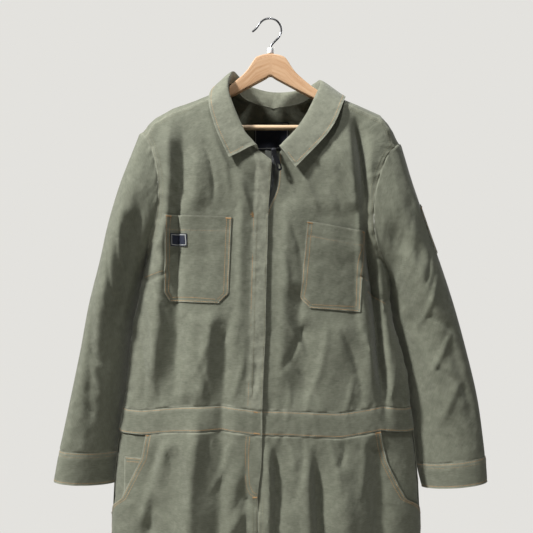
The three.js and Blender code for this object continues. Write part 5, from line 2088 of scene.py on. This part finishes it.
    def leg_back(self, side: Side) -> None:
        """Builds a leg back."""
        panel = Panel(
            on_leg(side, Face.BACK),
            side.out,
            Span(0.006, HEM_STATION, near_zero, near_one),
            edges=(Edge.SEAM, Edge.FREE, Edge.SEAM, Edge.SEAM),
            puckers=(2.2, 0.9, 0.9, 0.9),
            pitch=6.5,
            grooves=((Rim.END, self.hem),),
            seed=19.0 if side is Side.RIGHT else 29.0,
        )
        name = f"leg_back_{side.value}"
        self.shop.cloth(f"{name}_cloth", [panel], name, ["waistband_back"])
        self.shop.thread.rim(panel, Rim.END, (self.hem,), 1, 1)
        self.shop.thread.rim(panel, Rim.INNER, (2.5, 8.0), 2, 2)

    def facing(self, side: Side) -> None:
        """Builds the cloth seen inside a slanted opening."""
        inward = 13 if side is Side.RIGHT else -13
        stop = self.station(side, self.slant[side][-1][1]) + 0.1
        edge = self.edge(side, inward)
        panel = Panel(
            on_leg(side, Face.FRONT),
            -side.out,
            Span(0.01, stop, lambda v: np.minimum(0.86, edge(v)), near_one),
            wall=1.1,
            lift=self.facing_lift,
            pitch=4.6,
            seed=37.0,
        )
        name = f"pocket_facing_{side.value}"
        self.shop.cloth(f"{name}_cloth", [panel], name, [f"waistband_{side.value}"])

    def coin_pocket(self) -> None:
        """Builds the small patch inside the right opening."""
        side = Side.RIGHT
        near = self.edge(side, 4)
        far_edge = self.edge(side, -3)
        far = lambda v: np.maximum(self.share(side, v, np.full_like(v, -245.0)), far_edge(v))
        panel = Panel(
            on_leg(side, Face.FRONT),
            -side.out,
            Span(self.station(side, -778), self.station(side, -847), near, far),
            edges=(Edge.FREE,) * 4,
            wall=1.0,
            lift=self.coin_lift,
            pitch=3.0,
            seed=43.0,
        )
        self.shop.cloth("coin_pocket_cloth", [panel], "coin_pocket", ["pocket_facing_right"])
        self.shop.thread.rim(panel, Rim.START, (2.5, 7.5), 2, 2)


@dataclass
class Sleeves:
    """Sleeves, cuffs and the pocket on the left upper arm."""

    shop: Shop

    def build(self) -> None:
        """Builds both sleeves and cuffs, and the sleeve pocket."""
        for side in Side:
            self.sleeve(side)
            self.cuff(side)
        self.pocket()

    def sleeve(self, side: Side) -> None:
        """Builds a sleeve, a tube cut in one piece."""
        panel = Panel(
            on_sleeve(side),
            side.out,
            Span(-0.06, CUFF_TOP - 0.003),
            edges=(Edge.SEAM, Edge.SEAM, Edge.FLUSH, Edge.FLUSH),
            puckers=(1.6, 1.5, 0, 0),
            closed=True,
            seed=53.0 if side is Side.RIGHT else 59.0,
        )
        self.shop.cloth(f"sleeve_{side.value}_cloth", [panel], f"sleeve_{side.value}", ["yoke"])

    def cuff(self, side: Side) -> None:
        """Builds a doubled cuff."""
        panel = Panel(
            on_sleeve(side),
            side.out,
            Span(CUFF_TOP + 0.004, CUFF_END),
            edges=(Edge.SEAM, Edge.FREE, Edge.FLUSH, Edge.FLUSH),
            puckers=(0.8, 0.4, 0, 0),
            wall=2.0,
            lift=0.3,
            pitch=3.6,
            closed=True,
            grooves=((Rim.START, 2.4), (Rim.START, 8.0), (Rim.END, 3.5)),
            seed=83.0 if side is Side.RIGHT else 89.0,
        )
        self.shop.cloth(f"cuff_{side.value}_cloth", [panel], f"cuff_{side.value}", [f"sleeve_{side.value}"])
        self.shop.thread.rim(panel, Rim.START, (2.4, 8.0), 0, 0)
        self.shop.thread.rim(panel, Rim.END, (3.5,), 0, 0)

    def pocket(self) -> None:
        """Builds the narrow pocket on the left upper arm."""
        panel = Panel(
            on_sleeve(Side.LEFT),
            1,
            Span(2.05, 3.62, lambda w: np.full_like(w, -38 / 360), lambda w: np.full_like(w, 26 / 360)),
            edges=(Edge.FREE,) * 4,
            puckers=(0.4,) * 4,
            wall=1.1,
            lift=1.9,
            pitch=3.6,
            grooves=((Rim.START, 20.0),),
            seed=97.0,
        )
        self.shop.cloth("sleeve_pocket_cloth", [panel], "sleeve_pocket", ["sleeve_left"])
        thread = self.shop.thread
        thread.rim(panel, Rim.START, (20.0,), 2, 2)
        for rim in (Rim.INNER, Rim.OUTER, Rim.END):
            thread.rim(panel, rim, (2.0,), 2, 2)
        for c in (0.05, 0.95):
            thread.tack(panel, 0.03, c, 0)


@dataclass
class Zip:
    """The front zip: tape, teeth, slider and pull.

    Attributes:
        tape: Distances of the tape's two edges from the left front's edge.
        chain: Distance of the teeth's middle from that edge.
        pitch: Distance between teeth.
        slider: The slider's middle.
    """

    shop: Shop
    tape: tuple[float, float] = (-24.0, -0.7)
    chain: float = -9.5
    pitch: float = 2.2
    slider: tuple[float, float, float] = (10.5, -57.9, -262.0)

    def surface(self, offset: Array, t: Array) -> Array:
        """The plane beside the left front's edge.

        Args:
            offset: Distances from that edge, in millimetres.
            t: 0 to 1 down the bodice, to 2 down the waistband and to 3 down the fly.

        Returns:
            Points in millimetres.
        """
        side = Side.LEFT
        pieces = (
            (on_bodice(side), (FRONT_NECK - 0.03) * (1 - np.clip(t, 0, 1))),
            (on_waist(side, Face.FRONT), np.clip(t - 1, 0, 1)),
            (on_leg(side, Face.FRONT), 1.7 * np.clip(t - 2, 0, 1)),
        )
        found = []
        for surface, v in pieces:
            zero = np.zeros_like(v)
            step = (surface(zero + 0.02, v) - surface(zero, v))[..., 0] / 0.02
            found.append(surface(offset / step, v))
        first = np.where((t < 1)[..., None], found[0], found[1])
        return np.where((t < 2)[..., None], first, found[2])

    def build(self) -> None:
        """Builds the zip's parts."""
        shop = self.shop
        panel = Panel(
            self.surface,
            -1,
            Span(0, 3, lambda t: np.full_like(t, self.tape[0]), lambda t: np.full_like(t, self.tape[1])),
            edges=(Edge.FREE,) * 4,
            puckers=(0.2,) * 4,
            wall=0.7,
            pitch=3.6,
        )
        shop.cloth("zip_tape_cloth", [panel], "zip_tape", ["front_left"], shop.finishes.tape, Slot.TAPE)
        self.teeth()
        for name in ("zip_slider", "zip_pull"):
            node = bpy.data.objects[name]
            node.data.materials.clear()
            node.data.materials.append(shop.finishes.gunmetal)

    def teeth(self) -> None:
        """Builds the closed chain below the slider, one tooth copied down the fly."""
        t = np.linspace(0, 3, 3000)
        line = self.surface(np.full_like(t, self.chain), t)
        line = line[line[:, 2] < self.slider[2] - 6]
        way = np.concatenate([[0], np.cumsum(np.linalg.norm(np.diff(line, axis=0), axis=1))])
        at = np.arange(0, way[-1], self.pitch / 2)
        middle = np.stack([np.interp(at, way, line[:, k]) for k in range(3)], axis=-1)
        down = unit(np.gradient(middle, axis=0))
        front = np.array([0.0, -1.0, 0.0])
        across = unit(np.cross(down, front))
        hand = np.where(np.arange(len(at)) % 2, 1.0, -1.0)[:, None]
        middle = middle - 0.9 * front + across * hand * 0.9
        ring = [(-2.0, -0.8), (2.0, -0.8), (2.0, 0.8), (-2.0, 0.8)]
        points = []
        for depth, grow in ((-0.9, 0.8), (0.0, 1.0), (1.3, 0.8)):
            for x, z in ring:
                points.append(middle + across * x * grow + down * z * grow * 0.62 + front * depth)
        points = np.stack(points, axis=1).reshape(-1, 3)
        shape = [(0, 3, 2, 1), (8, 9, 10, 11)]
        for base in (0, 4):
            shape += [(base + n, base + (n + 1) % 4, base + 4 + (n + 1) % 4, base + 4 + n) for n in range(4)]
        faces = (np.arange(len(middle))[:, None, None] * 12 + np.array(shape)[None]).reshape(-1, 4)
        obj = mesh_object("zip_teeth", points, faces)
        bpy.ops.object.mode_set(mode="EDIT")
        bpy.ops.mesh.select_all(action="SELECT")
        bpy.ops.mesh.normals_make_consistent(inside=False)
        bpy.ops.object.mode_set(mode="OBJECT")
        self.shop.place(obj, self.shop.finishes.gunmetal, Slot.ZIP)


@dataclass
class Hanger:
    """The wooden hanger with its bar, hook and ferrule.

    Attributes:
        middle: The hanger's x.
        bar: The bar's y, z, radius and half length.
    """

    shop: Shop
    middle: float = 5.0
    bar: tuple[float, float, float, float] = (-20.0, -213.0, 4.6, 193.0)

    TOP = (
        (0, 13, 26, 31, 38, 46, 56, 71, 84, 104, 134, 170, 190, 197, 201),
        (-77.5, -79, -83.5, -91, -103, -113.5, -122.5, -136, -145, -158, -171, -187, -199, -207, -212),
    )
    UNDER = (
        (0, 10, 71, 127, 170, 190, 197, 201),
        (-117, -122.5, -156, -185, -206, -215, -219, -217),
    )
    THICK = ((0, 60, 150, 195, 201), (7, 7.5, 9, 9, 6))
    STATIONS = (6, 13, 20, 26, 31, 38, 46, 56, 71, 84, 104, 119, 134, 152, 170, 181, 190, 197, 201)
    HOOK = (
        (-27, -37), (-22.5, -33.5), (-18.7, -29.5), (-16, -24.5), (-11.7, -18.8), (-5, -14.2),
        (3.5, -12.5), (12, -14.2), (18.7, -18.8), (23.5, -26.5), (25, -34), (23, -42.5),
        (18, -49.5), (12.5, -54.5), (8, -59.3), (5.4, -63.5), (5, -66),
    )

    def build(self) -> None:
        """Builds the hanger's parts."""
        shop = self.shop
        shop.place(self.arms(), shop.finishes.beech, Slot.WOOD, ("hanger_arms",))
        shop.place(self.rail(), shop.finishes.pale_beech, Slot.WOOD, ("hanger_bar",))
        shop.place(self.hook(), shop.finishes.steel, Slot.STEEL, ("hanger_hook",))
        shop.place(self.ferrule(), shop.finishes.plastic, Slot.PLASTIC, ("hook_ferrule",))

    def centre(self, dx: float) -> tuple[float, float, float]:
        """Middle height, half height and y of the arms at a distance from the middle."""
        top, under = np.interp(dx, *self.TOP), np.interp(dx, *self.UNDER)
        return (top + under) / 2, (top - under) / 2, -26 * (dx / 206) ** 2

    def arms(self) -> bpy.types.Object:
        """Shapes both arms from one block, extruded outwards station by station.

        Returns:
            The arms.
        """
        height, half, y = self.centre(0)
        place = (np.array([self.middle, y, height]) - CROOK) * MM
        bpy.ops.mesh.primitive_cube_add(size=2, location=place, scale=(3 * MM, 7 * MM, half * MM))
        obj = bpy.context.active_object
        obj.name = obj.data.name = "hanger_arms_wood"
        bpy.ops.object.transform_apply(location=True, rotation=True, scale=True)
        for side in (-1, 1):
            before = (3.0, *self.centre(3.0), 7.0)
            for dx in self.STATIONS:
                height, half, y = self.centre(dx)
                thick = float(np.interp(dx, *self.THICK))
                if dx == self.STATIONS[0]:
                    before = (3.0, *self.centre(0), 7.0)
                self.pick_end(obj, side)
                move = (side * (dx - before[0]) * MM, (y - before[3]) * MM, (height - before[1]) * MM)
                bpy.ops.mesh.extrude_region_move(TRANSFORM_OT_translate={"value": move})
                centre = (np.array([self.middle + side * dx, y, height]) - CROOK) * MM
                grow = (1, thick / before[4], half / before[2])
                bpy.ops.transform.resize(value=grow, center_override=tuple(centre))
                before = (dx, height, half, y, thick)
                bpy.ops.object.mode_set(mode="OBJECT")
        apply(obj, "BEVEL", width=3.2 * MM, segments=3, limit_method="ANGLE", angle_limit=math.radians(50))
        apply(obj, "SUBSURF", levels=1, render_levels=1)
        points = np.empty(len(obj.data.vertices) * 3, np.float32)
        obj.data.vertices.foreach_get("co", points)
        points = points.reshape(-1, 3) / MM + CROOK
        dx = np.abs(points[:, 0] - self.middle)
        middle = (np.interp(dx, *self.TOP) + np.interp(dx, *self.UNDER)) / 2
        grain = np.stack([points[:, 0] * 1.15, points[:, 1], points[:, 2] - middle], axis=-1) * MM
        grain[points[:, 0] < self.middle, 1] += 0.4
        layer = obj.data.attributes.new("grain", "FLOAT_VECTOR", "POINT")
        layer.data.foreach_set("vector", grain.astype(np.float32).ravel())
        shade(obj, 50)
        return obj

    def pick_end(self, obj: bpy.types.Object, side: int) -> None:
        """Selects the face that closes one end of the arms, in edit mode."""
        link(obj)
        for face in obj.data.polygons:
            face.select = False
        for edge in obj.data.edges:
            edge.select = False
        for vertex in obj.data.vertices:
            vertex.select = False
        end = max(obj.data.polygons, key=lambda face: side * face.center.x)
        end.select = True
        bpy.ops.object.mode_set(mode="EDIT")
        bpy.ops.mesh.select_mode(type="FACE")

    def rail(self) -> bpy.types.Object:
        """Turns the round bar, with eased ends.

        Returns:
            The bar.
        """
        y, z, radius, half = self.bar
        place = (np.array([self.middle, y, z]) - CROOK) * MM
        bpy.ops.mesh.primitive_cylinder_add(
            vertices=32, radius=radius * MM, depth=2 * half * MM, location=place, rotation=(0, math.pi / 2, 0)
        )
        obj = bpy.context.active_object
        obj.name = obj.data.name = "hanger_bar_wood"
        bpy.ops.object.transform_apply(location=True, rotation=True, scale=True)
        apply(obj, "BEVEL", width=0.6 * MM, segments=2, limit_method="ANGLE", angle_limit=math.radians(50))
        self.keep_grain(obj)
        shade(obj, 40)
        return obj

    def keep_grain(self, obj: bpy.types.Object) -> None:
        """Stores straight grain coordinates along x."""
        points = np.empty(len(obj.data.vertices) * 3, np.float32)
        obj.data.vertices.foreach_get("co", points)
        layer = obj.data.attributes.new("grain", "FLOAT_VECTOR", "POINT")
        layer.data.foreach_set("vector", points)

    def hook(self) -> bpy.types.Object:
        """Bends the hook's wire.

        Returns:
            The hook.
        """
        curve = bpy.data.curves.new("hanger_hook_wire", "CURVE")
        curve.dimensions = "3D"
        curve.bevel_depth = 1.7 * MM
        curve.bevel_resolution = 5
        curve.use_fill_caps = True
        curve.resolution_u = 6
        spline = curve.splines.new("NURBS")
        spline.points.add(len(self.HOOK) - 1)
        for point, (x, z) in zip(spline.points, self.HOOK):
            place = (np.array([x, 0.0, z]) - CROOK) * MM
            point.co = (*place, 1)
        spline.order_u = 4
        spline.use_endpoint_u = True
        wire = link(bpy.data.objects.new("hanger_hook_wire", curve))
        bpy.ops.object.convert(target="MESH")
        obj = bpy.context.active_object
        shade(obj, 50)
        return obj

    def ferrule(self) -> bpy.types.Object:
        """Turns the collar that holds the hook's shank.

        Returns:
            The ferrule.
        """
        place = (np.array([self.middle, 0, -71.9]) - CROOK) * MM
        bpy.ops.mesh.primitive_cylinder_add(vertices=40, radius=6.1 * MM, depth=10.6 * MM, location=place)
        obj = bpy.context.active_object
        obj.name = obj.data.name = "hook_ferrule_plastic"
        bpy.ops.object.transform_apply(location=True, rotation=True, scale=True)
        apply(obj, "BEVEL", width=1.1 * MM, segments=3, limit_method="ANGLE", angle_limit=math.radians(50))
        shade(obj, 40)
        return obj


@dataclass
class Studio:
    """Camera, lights, world and floor.

    Attributes:
        eye: The camera's place in table millimetres.
        tilt: How far the camera looks up, in degrees.
        focal: Focal length in pixels of a picture 533 pixels wide.
        floor: The floor's height in table millimetres.
    """

    eye: tuple[float, float, float] = (-2.0, -1400.0, -515.0)
    tilt: float = 2.5
    focal: float = 800.0
    floor: float = -1815.0

    def build(self) -> None:
        """Builds the studio."""
        self.camera()
        self.world()
        self.light("key", (-2.3, -1.35, 2.2), (0, 0, -0.6), 0.42, 268)
        self.light("spot", (0.1, -1.2, 2.9), (0, 0, -0.6), 0.2, 62)
        self.light("fill", (0.6, -3.2, -0.3), (0, 0, -0.7), 2.4, 1.5)
        self.light("rear", (1.6, 2.6, 1.1), (0, 0, -0.7), 1.6, 42)
        self.ground()
        bpy.context.scene.view_settings.view_transform = "Standard"

    def camera(self) -> None:
        """Sets up the camera as the photograph was framed."""
        data = bpy.data.cameras.new("camera")
        data.sensor_width = 36
        data.lens = 36 * self.focal / 533
        obj = bpy.data.objects.new("camera", data)
        obj.location = (np.array(self.eye) - CROOK) * MM
        obj.rotation_euler = (math.radians(90 + self.tilt), 0, 0)
        bpy.context.scene.collection.objects.link(obj)
        bpy.context.scene.camera = obj

    def world(self) -> None:
        """Sets a pale studio round the object that gives off little light."""
        world = bpy.data.worlds.new("studio")
        world.use_nodes = True
        tree = world.node_tree
        tree.nodes.clear()
        soft, pale = (tree.nodes.new("ShaderNodeBackground") for _ in range(2))
        soft.inputs["Color"].default_value = (0.95, 0.97, 1.0, 1)
        soft.inputs["Strength"].default_value = 0.045
        pale.inputs["Color"].default_value = (0.77, 0.76, 0.73, 1)
        pale.inputs["Strength"].default_value = 1.0
        path = tree.nodes.new("ShaderNodeLightPath")
        mixed = tree.nodes.new("ShaderNodeMixShader")
        output = tree.nodes.new("ShaderNodeOutputWorld")
        tree.links.new(path.outputs["Is Camera Ray"], mixed.inputs[0])
        tree.links.new(soft.outputs[0], mixed.inputs[1])
        tree.links.new(pale.outputs[0], mixed.inputs[2])
        tree.links.new(mixed.outputs[0], output.inputs[0])
        bpy.context.scene.world = world

    def light(self, name: str, place: tuple[float, float, float], target: tuple[float, float, float], size: float, power: float) -> None:
        """Sets up a square area light that points at a target.

        Args:
            name: Its name.
            place: Its place in metres.
            target: What it points at.
            size: Its side in metres.
            power: Its power in watts.
        """
        data = bpy.data.lights.new(name, "AREA")
        data.size = size
        data.energy = power
        obj = bpy.data.objects.new(name, data)
        obj.location = place
        obj.rotation_euler = (Vector(target) - Vector(place)).to_track_quat("-Z", "Y").to_euler()
        bpy.context.scene.collection.objects.link(obj)

    def ground(self) -> None:
        """Lays the floor."""
        height = (self.floor - CROOK[2]) * MM
        bpy.ops.mesh.primitive_plane_add(size=4.6, location=(0, 0, height))
        obj = bpy.context.active_object
        obj.name = "floor"
        obj.data.materials.append(Plaster("plaster", colour(226, 224, 219)).make())


def main() -> None:
    """Builds the suit, its hanger and the studio."""
    logging.basicConfig(level=logging.INFO, format="%(message)s")
    for obj in bpy.context.selected_objects:
        obj.select_set(False)
    Studio().build()
    shop = Shop(Finishes(), Thread(), Thread())
    for assembly in (Bodice(shop), Waistband(shop), Trousers(shop), Sleeves(shop), Zip(shop), Hanger(shop)):
        assembly.build()
        log.info("built %s", type(assembly).__name__)
    shop.place(shop.thread.build("top_stitching"), shop.finishes.thread, Slot.TWILL)
    shop.place(shop.seams.build("seam_stitching"), shop.finishes.seam_thread, Slot.TWILL)


if __name__ == "__main__":
    main()
